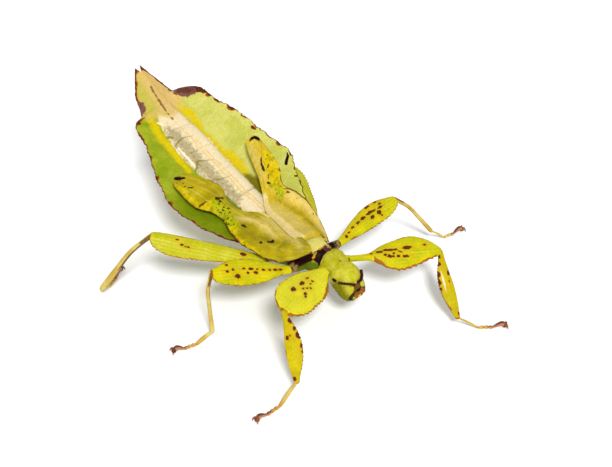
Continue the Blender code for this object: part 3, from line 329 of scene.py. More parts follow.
WING_MARKS = {
    "right": {
        "tip": [[(33.6, 1.9, 0.41), (33.0, 1.9, 0.55), (32.3, 1.7, 0.46)]],
        "spot": [[(31.3, 3.2, 0.14)], [(30.5, 4.0, 0.17), (30.4, 4.0, 0.15)], [(29.7, 4.2, 0.21),
            (29.2, 3.9, 0.21)], [(27.7, 1.7, 0.14)], [(32.5, 3.1, 0.14), (32.3, 3.3, 0.09)],
            [(23.9, 3.4, 0.21), (23.4, 2.7, 0.29), (23.3, 1.5, 0.22)], [(22.8, 2.8, 0.21),
            (22.5, 2.7, 0.21)], [(15.3, 6.0, 0.29), (14.7, 6.2, 0.14)], [(9.8, 7.3, 0.31),
            (9.7, 7.3, 0.29)], [(9.2, 6.2, 0.14), (8.5, 5.9, 0.21), (8.3, 5.5, 0.38)]],
        "rust": [[(25.2, 7.0, 0.26), (25.2, 6.6, 0.17), (25.0, 5.9, 0.17), (24.9, 5.6, 0.14)],
            [(28.4, 0.1, 0.07), (27.6, 0.1, 0.1), (26.8, 0.0, 0.14), (26.0, 0.1, 0.1)]],
        "lime": [[(23.6, 4.1, 0.86), (21.6, 3.5, 1.21), (19.8, 3.7, 1.03), (17.9, 5.3, 0.86),
            (15.2, 8.0, 0.6)]],
        "speck": [[(21.8, 3.3, 0.77), (20.4, 3.3, 0.95), (19.0, 4.1, 0.86), (17.2, 6.2, 0.69)]],
        "gold": [[(32.1, 3.8, 0.17), (29.1, 5.6, 0.31), (27.1, 6.6, 0.43), (25.0, 7.2, 0.48),
            (23.0, 5.5, 0.43), (21.3, 4.6, 0.26)], [(24.8, 6.2, 0.6), (23.7, 5.2, 0.69)],
            [(16.6, 7.1, 0.31), (13.9, 9.1, 0.48), (11.4, 9.6, 0.57), (8.9, 9.4, 0.48), (7.7, 9.1, 0.34)]],
        "cream": [[(16.6, 0.1, 0.43), (13.4, 1.0, 0.31)]],
        # Pale marks on the raised folds and olive ones in the hollows: partly the wing's own colour, partly
        # painted light and shade
        "pale": [[(17.8, 3.9, 0.31), (16.2, 4.4, 0.52), (14.0, 4.0, 0.62), (11.2, 4.3, 0.77),
            (9.0, 4.6, 0.52)]],
        "olive": [[(18.6, 3.6, 0.31), (16.3, 5.5, 0.48), (13.6, 7.1, 0.77), (11.7, 7.0, 0.77),
            (9.7, 6.0, 0.52), (7.4, 5.0, 0.43)]],
        "tan": [[(12.9, 2.1, 1.0), (7.3, 2.2, 1.15), (2.4, 2.5, 0.72)]]},
    "left": {
        "tip": [[(28.6, 1.1, 0.26), (28.9, 1.7, 0.35), (28.8, 2.3, 0.41), (28.2, 2.8, 0.32),
            (27.5, 2.9, 0.16)]],
        "spot": [[(23.9, 2.3, 0.13), (22.4, 1.8, 0.22), (21.2, 1.7, 0.32), (20.6, 1.7, 0.19)],
            [(17.8, 1.6, 0.26), (17.4, 2.0, 0.13)]],
        "rust": [[(23.6, 3.5, 0.16), (23.5, 3.5, 0.16)], [(21.4, 3.0, 0.16), (21.0, 2.7, 0.16)],
            [(19.4, 2.2, 0.13), (18.6, 2.0, 0.1)], [(14.8, 3.1, 0.19)], [(14.6, 3.7, 0.13)],
            [(21.2, 4.6, 0.1), (21.1, 4.6, 0.1)], [(14.9, 4.7, 0.06), (14.3, 5.9, 0.1), (13.1, 7.4, 0.11),
            (11.6, 8.4, 0.13), (9.5, 8.8, 0.13), (6.9, 9.1, 0.13)], [(13.8, 5.6, 0.19),
            (13.4, 6.2, 0.19)], [(11.3, 7.3, 0.11), (11.2, 7.3, 0.11)], [(5.5, 8.1, 0.18),
            (5.3, 8.0, 0.16)], [(0.5, 4.4, 0.21), (0.4, 4.2, 0.21)]],
        "gold": [[(24.4, 3.3, 0.56), (22.0, 3.4, 1.12), (20.0, 3.5, 1.36), (18.2, 3.3, 1.2),
            (16.8, 3.4, 0.72)]],
        "lime": [[(17.3, 2.2, 0.48), (15.6, 3.6, 0.8), (14.4, 4.1, 0.8)]],
        # Pale marks on the raised folds and olive ones in the hollows: partly the wing's own colour, partly
        # painted light and shade
        "pale": [[(13.2, 6.2, 0.64), (10.2, 7.8, 1.04), (7.1, 8.1, 0.96), (4.1, 8.2, 0.88),
            (1.1, 6.5, 0.72)]],
        "olive": [[(14.3, 2.7, 0.26), (12.6, 4.6, 0.32), (9.9, 5.2, 0.32), (7.3, 5.8, 0.35),
            (3.4, 5.6, 0.35), (1.3, 5.0, 0.29)]],
        "cream": [[(15.6, 0.3, 0.5), (13.4, 0.5, 0.7), (9.4, 0.7, 0.75), (5.1, 0.8, 0.8),
            (1.4, 0.8, 0.8)]],
        "tan": [[(27.4, 1.1, 0.45), (24.9, 1.0, 0.64), (22.9, 0.9, 0.56), (20.8, 0.9, 0.4),
            (19.1, 1.0, 0.32)], [(12.2, 1.9, 1.22), (8.9, 2.6, 1.43), (5.2, 2.8, 1.22), (1.6, 2.7, 0.71)]]}}
# Dark spots on each piece, and a painted highlight on the front left shin: (place along it, place aside, half
# length, half width)
SPOTS = {
    "femur_middle_right": [(14.2, 0.0, 0.46, 0.25), (12.9, -0.35, 0.34, 0.25), (10.6, -0.4, 0.46, 0.2),
        (9.1, -0.3, 0.57, 0.3), (7.7, -0.2, 0.34, 0.22), (6.4, 0.0, 0.4, 0.25), (5.1, 0.1, 0.34, 0.25),
        (3.8, 0.1, 0.46, 0.25), (2.7, 0.1, 0.46, 0.25), (12.1, 1.0, 0.63, 0.43), (9.8, 0.4, 0.29, 0.25),
        (8.2, 0.5, 0.52, 0.28), (14.0, -1.3, 0.34, 0.25)],
    # A painted highlight along the front left shin
    "tibia_front_left_highlight": [(6.5, 1.15, 2.0, 0.17)],
    "femur_front_right": [(6.8, -1.45, 0.57, 0.21), (9.2, -1.4, 0.86, 0.4), (12.4, -1.7, 0.8, 0.5),
        (11.1, 0.45, 0.57, 0.33), (8.6, 0.4, 0.34, 0.28), (6.5, -0.35, 0.29, 0.28),
        (10.3, -0.5, 0.4, 0.22), (9.4, -0.1, 0.34, 0.19), (7.6, -0.2, 0.29, 0.18),
        (11.7, 0.9, 0.34, 0.22)],
    "femur_middle_left": [(11.0, -2.2, 0.6, 0.2), (13.2, -2.0, 0.5, 0.16), (3.4, -0.3, 0.34, 0.22),
        (4.9, -0.7, 0.46, 0.25), (6.6, -0.75, 0.57, 0.3), (8.2, -0.85, 0.63, 0.38),
        (10.4, -0.9, 1.03, 0.33), (11.4, -0.7, 0.46, 0.25), (9.9, 0.2, 0.57, 0.38),
        (11.9, 0.3, 0.57, 0.5), (12.9, -0.4, 0.57, 0.3), (13.6, -1.1, 0.46, 0.25), (12.0, 1.1, 0.23, 0.2),
        (2.3, 0.0, 0.34, 0.38)],
    "femur_front_left": [(4.6, -0.35, 0.4, 0.2), (6.2, -0.6, 0.8, 0.25), (8.4, -0.95, 1.26, 0.3),
        (9.7, -0.9, 0.46, 0.25), (12.2, -1.15, 1.03, 0.43), (7.3, 0.15, 0.4, 0.25), (8.4, 0.6, 0.8, 0.25),
        (9.9, 0.6, 0.46, 0.28), (11.4, 0.75, 0.69, 0.28), (9.2, 0.0, 0.34, 0.2), (10.6, -0.25, 0.4, 0.25),
        (8.0, 0.3, 0.29, 0.18), (15.9, -1.6, 0.34, 0.22)],
    "femur_hind_right": [(17.9, -0.25, 0.34, 0.19), (16.8, 0.65, 0.34, 0.25), (16.1, 0.8, 0.34, 0.2),
        (15.5, 0.85, 0.29, 0.19), (4.6, 0.0, 0.57, 0.38)],
    "femur_hind_left": [(17.1, 0.5, 0.34, 0.19), (16.2, 0.8, 0.34, 0.25), (15.0, 0.2, 0.34, 0.2),
        (4.6, 0.0, 0.57, 0.38)],
    "tibia_front_right": [(13.3, -0.35, 0.52, 0.31), (2.2, 0.7, 0.57, 0.31), (3.9, 1.3, 0.4, 0.38),
        (5.2, 1.9, 0.69, 0.53), (7.3, 2.1, 0.52, 0.38), (8.5, 2.0, 0.34, 0.25), (5.3, -0.3, 0.46, 0.31),
        (4.9, 0.3, 0.34, 0.18)],
    "tibia_front_left": [(1.4, 0.7, 0.46, 0.28), (3.0, 1.1, 0.4, 0.33), (5.0, 1.9, 0.69, 0.5),
        (6.6, 2.1, 0.63, 0.45), (8.1, 2.0, 0.4, 0.25), (5.0, -0.3, 0.57, 0.28), (6.8, 0.0, 0.34, 0.15),
        (13.4, -0.3, 0.46, 0.25)]}


def colour(name):
    """A colour by name, in the linear values that shaders take."""
    parts = [part / 255.0 for part in COLOURS[name]]
    linear = [part / 12.92 if part <= 0.04045 else ((part + 0.055) / 1.055) ** 2.4 for part in parts]
    return (*(SHADE * part for part in linear), 1.0)


def profile(stations, x):
    """Values at each x on a smooth curve through stations, each a place and its values."""
    table = np.array(stations, float)
    places, values = table[:, 0], table[:, 1:]
    x = np.ravel(x)
    i = np.clip(np.searchsorted(places, x, side="right") - 1, 0, len(places) - 2)
    step = (places[i + 1] - places[i])[:, None]
    t = np.clip((x - places[i])[:, None] / step, 0.0, 1.0)
    low = np.maximum(np.arange(len(places)) - 1, 0)
    high = np.minimum(np.arange(len(places)) + 1, len(places) - 1)
    slopes = (values[high] - values[low]) / (places[high] - places[low])[:, None]
    ends = values[i] * (2 * t**3 - 3 * t**2 + 1) + values[i + 1] * (3 * t**2 - 2 * t**3)
    return ends + step * (slopes[i] * (t**3 - 2 * t**2 + t) + slopes[i + 1] * (t**3 - t**2))


def curve(points, shares):
    """Points at shares of the way along a smooth curve through the given points."""
    points = np.array(points, float)
    stations = np.column_stack([np.arange(len(points)), points.reshape(len(points), -1)])
    return profile(stations, shares * (len(points) - 1)).reshape(-1, *points.shape[1:])


def distances(path):
    """How far each point of a path lies along it, as a column."""
    steps = np.linalg.norm(np.diff(path, axis=0), axis=-1)
    return np.concatenate([[0.0], np.cumsum(steps)])[:, None]


def unit(vectors):
    """Vectors of length one."""
    return vectors / np.linalg.norm(vectors, axis=-1, keepdims=True)


def smooth(x, low, high):
    """0 below low, 1 above high and a soft step between them."""
    t = np.clip((x - low) / (high - low), 0.0, 1.0)
    return t * t * (3.0 - 2.0 * t)


def bell(x, width):
    """1 at zero, falling off softly on both sides."""
    return np.exp(-(x / width) ** 2)


def line_gap(x, step):
    """How far each value is from the nearest whole number of steps."""
    return np.abs(x / step - np.round(x / step)) * step


def wander(x, step, seed):
    """Smooth random values from -1 to 1 along x, in waves about two steps long."""
    lattice = np.random.default_rng(seed).uniform(-1.0, 1.0, WANDER_POINTS)
    place = x / step
    i = np.floor(place).astype(int)
    t = smooth(place - i, 0.0, 1.0)
    return lattice[i % WANDER_POINTS] * (1.0 - t) + lattice[(i + 1) % WANDER_POINTS] * t


def ripple(x, y, step, seed):
    """Smooth random values from -1 to 1 over a surface with two places, in bumps of that step."""
    lattice = np.random.default_rng(seed).uniform(-1.0, 1.0, (RIPPLE_POINTS, RIPPLE_POINTS))
    x, y = np.broadcast_arrays(x / step, y / step)
    i, j = np.floor(x).astype(int), np.floor(y).astype(int)
    s, t = smooth(x - i, 0.0, 1.0), smooth(y - j, 0.0, 1.0)
    (i, i_after), (j, j_after) = ((k % RIPPLE_POINTS, (k + 1) % RIPPLE_POINTS) for k in (i, j))
    near = lattice[i, j] * (1 - s) + lattice[i_after, j] * s
    far = lattice[i, j_after] * (1 - s) + lattice[i_after, j_after] * s
    return near * (1 - t) + far * t


def spot_field(along, aside, spots):
    """How deep inside the nearest spot each place lies, a spot being a long round patch."""
    field = np.full(np.broadcast(along, aside).shape, -1.0)
    for place_along, place_aside, half_length, half_width in spots:
        far = np.hypot((along - place_along) / half_length, (aside - place_aside) / half_width)
        field = np.maximum(field, (1.0 - far) * half_width)
    return field


def mark_fields(marks, along, aside):
    """For each layer of marks, how deep inside the nearest mark each place lies."""
    fields = {}
    for layer, lines in marks.items():
        field = np.full(along.shape, ABSENT)
        for line in lines:
            for (a0, b0, w0), (a1, b1, w1) in zip(line, line[1:] or line):
                step = np.array((a1 - a0, b1 - b0))
                share = ((along - a0) * step[0] + (aside - b0) * step[1]) / max(step @ step, 1e-6)
                share = np.clip(share, 0.0, 1.0)
                far = np.hypot(along - a0 - share * step[0], aside - b0 - share * step[1])
                field = np.maximum(field, w0 + (w1 - w0) * share - far)
        fields[layer] = field
    return fields


def sheet_faces(rows, columns):
    """Quads of two like grids, one over the other, joined round their rim."""
    index = np.arange(rows * columns).reshape(rows, columns)
    quads = np.stack([index[:-1, :-1], index[:-1, 1:], index[1:, 1:], index[1:, :-1]], -1).reshape(-1, 4)
    under = rows * columns
    rim = np.concatenate([index[0], index[1:, -1], index[-1, -2::-1], index[-2:0:-1, 0]])
    after = np.roll(rim, -1)
    side = np.stack([rim, rim + under, after + under, after], -1)
    return np.concatenate([quads, quads[:, ::-1] + under, side])


def loft_faces(rows, sides):
    """Quads of rings joined in order."""
    index = np.arange(rows * sides).reshape(rows, sides)
    after = np.roll(index, -1, axis=1)
    return np.stack([index[:-1], after[:-1], after[1:], index[1:]], -1).reshape(-1, 4)


def make_piece(name, points, faces, material, nodes=(), caps=(), fields=None):
    """A smooth closed mesh that rides on the model, replaces nodes and carries the fields to paint by."""
    points = points.reshape(-1, 3)
    corner = points[faces] - points.mean(axis=0)
    volume = np.einsum("ij,ij->i", corner[:, 0], np.cross(corner[:, 1], corner[:, 2])).sum()
    volume += np.einsum("ij,ij->i", corner[:, 0], np.cross(corner[:, 2], corner[:, 3])).sum()
    turn = 1 if volume > 0 else -1
    mesh = bpy.data.meshes.new(name)
    caps = [list(cap)[::turn] for cap in caps]
    mesh.from_pydata(((points - ORIGIN) * MM).tolist(), [], faces[:, ::turn].tolist() + caps)
    shader_nodes = material.node_tree.nodes
    for key in sorted({node.attribute_name for node in shader_nodes if node.type == "ATTRIBUTE"}):
        values = np.ravel((fields or {}).get(key, ABSENT))
        values = np.tile(values, len(points) // len(values)).astype(np.float32)
        mesh.attributes.new(key, "FLOAT", "POINT").data.foreach_set("value", values)
    mesh.shade_smooth()
    mesh.materials.append(material)
    obj = bpy.data.objects.new(name, mesh)
    bpy.context.scene.collection.objects.link(obj)
    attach(obj, "root")
    if nodes:
        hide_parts(*nodes)


def make_loft(name, rings, material, nodes=(), fields=None):
    """A piece through closed rings, an array of rows x sides x 3."""
    rows, sides = rings.shape[:2]
    caps = [range(sides)[::-1], range((rows - 1) * sides, rows * sides)]
    make_piece(name, rings, loft_faces(rows, sides), material, nodes, caps, fields)


def make_sheet(name, top, bottom, material, slot, nodes=(), fields=None):
    """A piece between two like grids of points."""
    points = np.concatenate([top.reshape(-1, 3), bottom.reshape(-1, 3)])
    make_piece(name, points, sheet_faces(*top.shape[:2]), material, nodes, (), fields)


def turns(sides):
    """Angles round a ring of so many sides."""
    return np.linspace(0.0, math.tau, sides, endpoint=False)


def tube(centres, radii, sides):
    """Round rings about a line of centres."""
    tangent = unit(np.gradient(centres, axis=0))
    across = unit(np.cross(tangent, (0.0, 0.0, 1.0)))
    normal = np.cross(across, tangent)
    turn = turns(sides)[None, :, None]
    out = across[:, None] * np.cos(turn) + normal[:, None] * np.sin(turn)
    return centres[:, None] + out * radii[:, None, None]


def rounded_ends(shares, start, end):
    """A factor that closes a tube smoothly over a share of its length at each end."""
    factor = np.ones(len(shares))
    for into, reach in ((shares, start), (1.0 - shares, end)):
        if reach:
            left = np.clip(reach - into, 0.0, reach) / reach
            factor = factor * np.sqrt(np.clip(1.0 - left ** 2, 0.003, 1.0))
    return factor


def new_node(tree, kind, settings=None, **inputs):
    """A shader node with its settings, and inputs given as values or as sockets to link."""
    made = tree.nodes.new(kind)
    for key, value in (settings or {}).items():
        setattr(made, key, value)
    for key, value in inputs.items():
        socket = made.inputs[int(key[1:])] if key[0] == "i" and key[1:].isdigit() else made.inputs[key]
        if isinstance(value, bpy.types.NodeSocket):
            tree.links.new(value, socket)
        else:
            socket.default_value = value
    return made


def calculate(tree, operation, a, b):
    """The output of a math node."""
    return new_node(tree, "ShaderNodeMath", {"operation": operation}, i0=a, i1=b).outputs[0]


def noise(tree, place, scale, detail=3.0):
    """The value of a noise texture over the piece."""
    return new_node(tree, "ShaderNodeTexNoise", Vector=place, Scale=scale, Detail=detail).outputs["Fac"]


def rescaled(tree, value, old, new):
    """A value moved from one range to another and held inside it."""
    ranges = {"i1": old[0], "i2": old[1], "i3": new[0], "i4": new[1]}
    return new_node(tree, "ShaderNodeMapRange", None, i0=value, **ranges).outputs[0]


def mixed(tree, share, low, high):
    """Two colours mixed by a share."""
    return new_node(tree, "ShaderNodeMix", {"data_type": "RGBA"}, i0=share, i6=low, i7=high).outputs[2]


def field_mask(tree, place, field, softness, raggedness, grain):
    """A mask that is 1 where a field is above zero, with a soft and ragged edge."""
    value = new_node(tree, "ShaderNodeAttribute", {"attribute_name": field}).outputs["Fac"]
    if raggedness > 0.0:
        shake = calculate(tree, "SUBTRACT", noise(tree, place, grain), 0.5)
        value = calculate(tree, "ADD", value, calculate(tree, "MULTIPLY", shake, 2.0 * raggedness))
    settings = {"interpolation_type": "SMOOTHSTEP"}
    return new_node(tree, "ShaderNodeMapRange", settings, i0=value, i1=-softness, i2=softness).outputs[0]


def painted(name, base, layers=(), roughness=0.48, clouds=330.0, grain=2400.0, depth=0.03, glow=0.2):
    """A waxy cuticle: two base colours in soft clouds, with a layer of paint for each field.

    layers lists (field, colour, softness, raggedness, grain of the ragged edge, strength).
    """
    material = bpy.data.materials.new(name)
    material.use_nodes = True
    tree = material.node_tree
    shader = tree.nodes["Principled BSDF"]
    place = new_node(tree, "ShaderNodeTexCoord").outputs["Object"]
    cloud = rescaled(tree, noise(tree, place, clouds), CLOUD_RANGE, (0.0, 1.0))
    paint = mixed(tree, cloud, colour(base[0]), colour(base[1]))
    for field, tint, softness, raggedness, edge_grain, strength in layers:
        mask = field_mask(tree, place, field, softness, raggedness, edge_grain)
        if strength < 1.0:
            mask = calculate(tree, "MULTIPLY", mask, strength)
        paint = mixed(tree, mask, paint, colour(tint))
    speckle = rescaled(tree, noise(tree, place, grain), GRAIN_RANGE, SPECKLE)
    paint = new_node(tree, "ShaderNodeVectorMath", {"operation": "SCALE"}, i0=paint, i3=speckle)
    tree.links.new(paint.outputs[0], shader.inputs["Base Color"])
    height = calculate(tree, "ADD", noise(tree, place, grain), noise(tree, place, grain * 0.35, 2.0))
    bump = new_node(tree, "ShaderNodeBump", None, Strength=1.0, Distance=depth * MM, Height=height)
    tree.links.new(bump.outputs[0], shader.inputs["Normal"])
    shader.inputs["Roughness"].default_value = roughness
    shader.inputs["Specular IOR Level"].default_value = SHINE
    shader.inputs["Subsurface Weight"].default_value = glow
    shader.inputs["Subsurface Radius"].default_value = GLOW_COLOUR
    shader.inputs["Subsurface Scale"].default_value = GLOW_DEPTH * MM
    return material


def body_finishes():
    """The finishes of the head, thorax and abdomen, and of the small hard parts."""
    abdomen = painted("abdomen_leaf", ("lobe_deep", "lobe_deep_2"), ABDOMEN_LAYERS)
    thorax = painted("thorax_cuticle", ("collar", "collar_2"), [
        # The side layer is partly painted shade on the lower sides
        ("side", "side", 0.5, 0.3, COARSE, 0.95), ("plate", "plate", 0.8, 1.1, COARSE, 0.9),
        ("maroon", "maroon", 0.12, 0.45, COARSE, 1.0), ("ring", "purple", 0.3, 1.1, 1300.0, 0.8),
        ("rim", "amber", 0.1, 0.7, 1500.0, 0.9), ("spot", "orange_rust", 0.1, 0.12, FINE, 0.9)
    ], **PITTED)
    head = painted("head_cuticle", ("head", "head_2"), [
        # The first layer is painted shade on the lower sides of the head
        ("gena_shade", "gena_shade", 0.6, 0.3, COARSE, 0.95), ("clypeus", "rust", 0.12, 0.9, 1300.0, 0.9),
        ("spot", "maroon", 0.1, 0.16, FINE, 0.95)], **PITTED)
    feeler = painted("feeler_cuticle", ("maroon", "spot"), clouds=900.0, roughness=0.4)
    palp = painted("palp_cuticle", ("palp", "rust"), clouds=1900.0, roughness=0.4)
    eye = painted("eye_dome", ("eye", "maroon"), roughness=0.25, depth=0.01, glow=0.0)
    claw = painted("claw_horn", ("claw", "nail"), roughness=0.35, glow=0.0)
    return {"abdomen": abdomen, "thorax": thorax, "head": head, "feeler": feeler, "palp": palp,
            "eye": eye, "claw": claw}


def limb_finishes():
    """The finishes of the legs. The blades' ribs show more on some than on others."""
    found = {}
    for name, (base, stripes) in BLADE_COLOURS.items():
        found[name] = painted(name + "_cuticle", base, [
            ("rib", "rib", 0.12, 0.1, COARSE, stripes), ("furrow", "furrow", 0.12, 0.14, COARSE, stripes),
            ("halo", "amber", 0.4, 0.5, 1200.0, 0.45), ("rust", "orange_rust", 0.08, 0.22, 1300.0, 0.9),
            # The pale layer is a painted highlight
            ("pale", "highlight_white", 0.08, 0.05, COARSE, 0.95), ("spot", "spot", 0.07, 0.26, 2000.0, 0.95)])
    found["limb"] = painted("limb_cuticle", ("ochre", "ochre_2"), [
        ("toe", "toe", 1.0, 0.5, COARSE, 0.9), ("joint", "node", 0.3, 0.3, COARSE, 0.7),
        ("dark", "spot", 0.15, 0.2, COARSE, 0.8)])
    found["coxa"] = painted("coxa_cuticle", ("maroon", "maroon"), [
        # The green layer is partly painted shade on the coxa's lower side
        ("mottle", "purple", 0.2, 0.9, COARSE, 0.7), ("green", "side", 0.2, 0.2, COARSE, 1.0),
        ("joint", "coxa", 0.2, 1.2, 1500.0, 0.95), ("spot", "spot", 0.07, 0.2, 2000.0, 0.9)], roughness=0.4)
    return found


def make_materials():
    """Every finish, by name."""
    wings = ("wing_" + side for side in SIDES)
    found = {name: painted(name + "_membrane", (name, name + "_2"), WING_LAYERS, 0.42) for name in wings}
    return {**body_finishes(), **found, **limb_finishes()}


def make_trunk(materials):
    """One skin over the three thorax rings, with a groove between them."""
    rows, sides = TRUNK_GRID
    y = np.linspace(TRUNK[0][0], TRUNK[-1][0], rows)
    half_width, back, belly = profile(TRUNK, y).T[:, :, None]
    turn = turns(sides)[None, :]
    c, s = np.cos(turn), np.sin(turn)
    x = half_width * np.copysign(np.abs(c) ** 0.8, c)
    z = (back + belly) / 2 + (back - belly) / 2 * np.copysign(np.abs(s) ** 0.9, s)
    y = np.broadcast_to(y[:, None], x.shape)

    # Grain, a keel and a raised rim on the first ring, and folds in the groove behind it
    front = 1.0 - smooth(y, -4.7, -4.3)
    grain = ripple(y, turn * 3.0, 0.35, 3) * 0.07 * front
    keel = 0.22 * bell(x, 0.22) * (s > 0) * front
    rim = 0.16 * bell(y + 4.95, 0.2) * smooth(s, -0.2, 0.4)
    folds = 0.1 * ripple(y, x, 0.6, 8) * smooth(y, -4.4, -4.0) * (1.0 - smooth(y, -3.2, -2.6))
    z = z + (grain - keel + rim + folds) * s
    x = x + (grain + rim) * c

    # The dark ring behind the first thorax ring, and the dark flanks
    jagged = 0.35 * wander(x, 0.6, 7)
    ring = np.minimum(y + 4.65, -4.15 + 1.4 * smooth(s, 0.1, 0.6) + jagged - y)
    flank = np.minimum(np.minimum(z - 10.3 + 0.85 * y, 13.9 - z), np.minimum(y + 4.6, 1.8 - y))
    fields = {
        # side paints the lower sides dark green: partly the green cuticle, partly painted shade
        "side": np.minimum(y + 4.4, 12.4 - z), "plate": np.minimum(y + 2.9, (s - 0.55) * 3.0),
        "maroon": np.maximum(ring, flank), "ring": np.minimum(ring, x - 0.2),
        "rim": np.minimum(0.1 + 0.16 * wander(x, 0.5, 9) - np.abs(y + 2.8), (s - 0.5) * 3.0),
        "spot": spot_field(y, x, TRUNK_SPOTS)}
    make_loft("skin_thorax", np.stack([x, y, z], -1), materials["thorax"],
              ("prothorax", "mesothorax", "metathorax"), fields)


def head_point(along, aside, above):
    """Points given by their place on the head's axis, distance aside and height above."""
    pitch, turn = math.radians(HEAD_PITCH), math.radians(HEAD_TURN)
    ahead = np.array((math.sin(turn), -math.cos(turn), 0.0))
    leftward = np.array((math.cos(turn), math.sin(turn), 0.0))
    forward = ahead * math.cos(pitch) - np.array((0.0, 0.0, math.sin(pitch)))
    upward = ahead * math.sin(pitch) + np.array((0.0, 0.0, math.cos(pitch)))
    along, aside, above = (np.asarray(part, float)[..., None] for part in (along, aside, above))
    return NECK + forward * along + upward * above + leftward * aside


def make_head(materials):
    """The head's skin, with a brow over the feelers and pitted like the real one."""
    rows, sides = HEAD_GRID
    along = np.linspace(HEAD[0][0], HEAD[-1][0], rows)
    half_width, above, below = profile(HEAD, along).T[:, :, None]
    turn = turns(sides)[None, :]
    c, s = np.cos(turn), np.sin(turn)
    along = np.broadcast_to(along[:, None], (rows, sides))
    grain = 1.0 + 0.03 * ripple(along, turn * 3.0, 0.32, 5)
    on_top = smooth(s, 0.2, 0.7)
    brow = 1.0 + (0.09 * bell(along - 4.1, 0.5) - 0.12 * bell(along - 5.0, 0.3)) * on_top
    aside = half_width * c * grain
    lift = s * np.where(s > 0, above * brow, below) * grain
    face = np.minimum(np.minimum(along - 5.0, 6.9 - along), 1.15 - np.abs(aside))
    fields = {
        # Painted shade: the lower sides of the head's front part are olive
        "gena_shade": np.minimum(along - 2.6, (0.6 - s) * 2.0),
        "clypeus": np.minimum(face, (s - 0.3) * 2.0) - 0.1,
        "spot": np.minimum(0.3 - np.abs(along - 6.5 - 0.85 * (1.0 - s)), s - 0.1)}
    make_loft("skin_head", head_point(along, aside, lift), materials["head"], ("head",), fields)


def make_ball(name, centre, radii, material, nodes=()):
    """A closed ball with its own radius along each axis."""
    rows, sides = BALL_GRID
    tilt = np.linspace(0.02, math.pi - 0.02, rows)[:, None]
    turn = turns(sides)[None, :]
    shape = np.stack([np.sin(tilt) * np.cos(turn), np.sin(tilt) * np.sin(turn),
                      np.cos(tilt) * np.ones_like(turn)], -1)
    make_loft(name, centre + shape * radii, material, nodes)


def make_feeler(name, path, segments, radius, neck, ends, steps, material, nodes=()):
    """A beaded feeler or palp along a path of places on the head, narrow at its necks."""
    shares = np.linspace(0.0, 1.0, steps)
    swell = neck + (1.08 - neck) * np.abs(np.sin(math.pi * segments * shares)) ** 0.6
    centres = curve([head_point(*place) for place in path], shares)
    rings = tube(centres, radius * swell * rounded_ends(shares, *ends), 20)
    make_loft(name, rings, material, nodes)


def make_head_parts(materials):
    """The eyes, feelers, jaws and two pairs of jointed palps."""
    for side, sign in SIDES.items():
        along, aside, above = EYE
        make_ball("eyeball_" + side, head_point(along, sign * aside, above), EYE_RADII,
                  materials["eye"], ("eye_" + side,))
        path = [(a, sign * b, c) for a, b, c in ANTENNA[side]]
        make_feeler("feeler_" + side, path, ANTENNA_SEGMENTS, ANTENNA_RADIUS[side], 0.6, (0.02, 0.05), 110,
                    materials["feeler"], ("antenna_" + side,))
    along = np.linspace(JAWS[0][0], JAWS[-1][0], 40)
    half_width, half_height = profile(JAWS, along).T[:, :, None]
    c, s = np.cos(turns(48)[None, :]), np.sin(turns(48)[None, :])
    groove = 1.0 - 0.12 * bell(c, 0.12) - 0.08 * bell(s - 0.1, 0.12)
    rings = head_point(along[:, None] * np.ones_like(c), half_width * c * groove,
                       JAW_LIFT + half_height * s * groove)
    make_loft("jaws", rings, materials["palp"], ("mouthparts",))
    for side, sign in SIDES.items():
        for name, (path, radius) in PALPS.items():
            path = [(a, sign * b, c) for a, b, c in path]
            make_feeler(name + side, path, 3, radius, 0.7, (0.02, 0.08), 60, materials["palp"])


def rust_width(y, patches, seed):
    """Width of the brown line along a margin, wider at each patch."""
    width = 0.16 + 0.14 * wander(y, 0.7, seed) + 0.34 * smooth(y, 48.9, 51.0)
    for place, half_length, patch in patches:
        near = 1.0 - smooth(np.abs(y - place), half_length * 0.4, half_length * 1.3)
        width = np.maximum(width, patch * near)
    return width


def margin_distance(x, y, outlines):
    """The distance of each place on a grid to its own side's outline, a line of places per side."""
    found = np.empty(x.shape)
    middle = x.shape[1] // 2
    for side, (outline_x, outline_y) in zip((slice(None, middle), slice(middle, None)), outlines):
        for row in range(x.shape[0]):
            far = np.hypot(x[row, side, None] - outline_x, y[row, side, None] - outline_y)
            found[row, side] = far.min(axis=1)
    return found


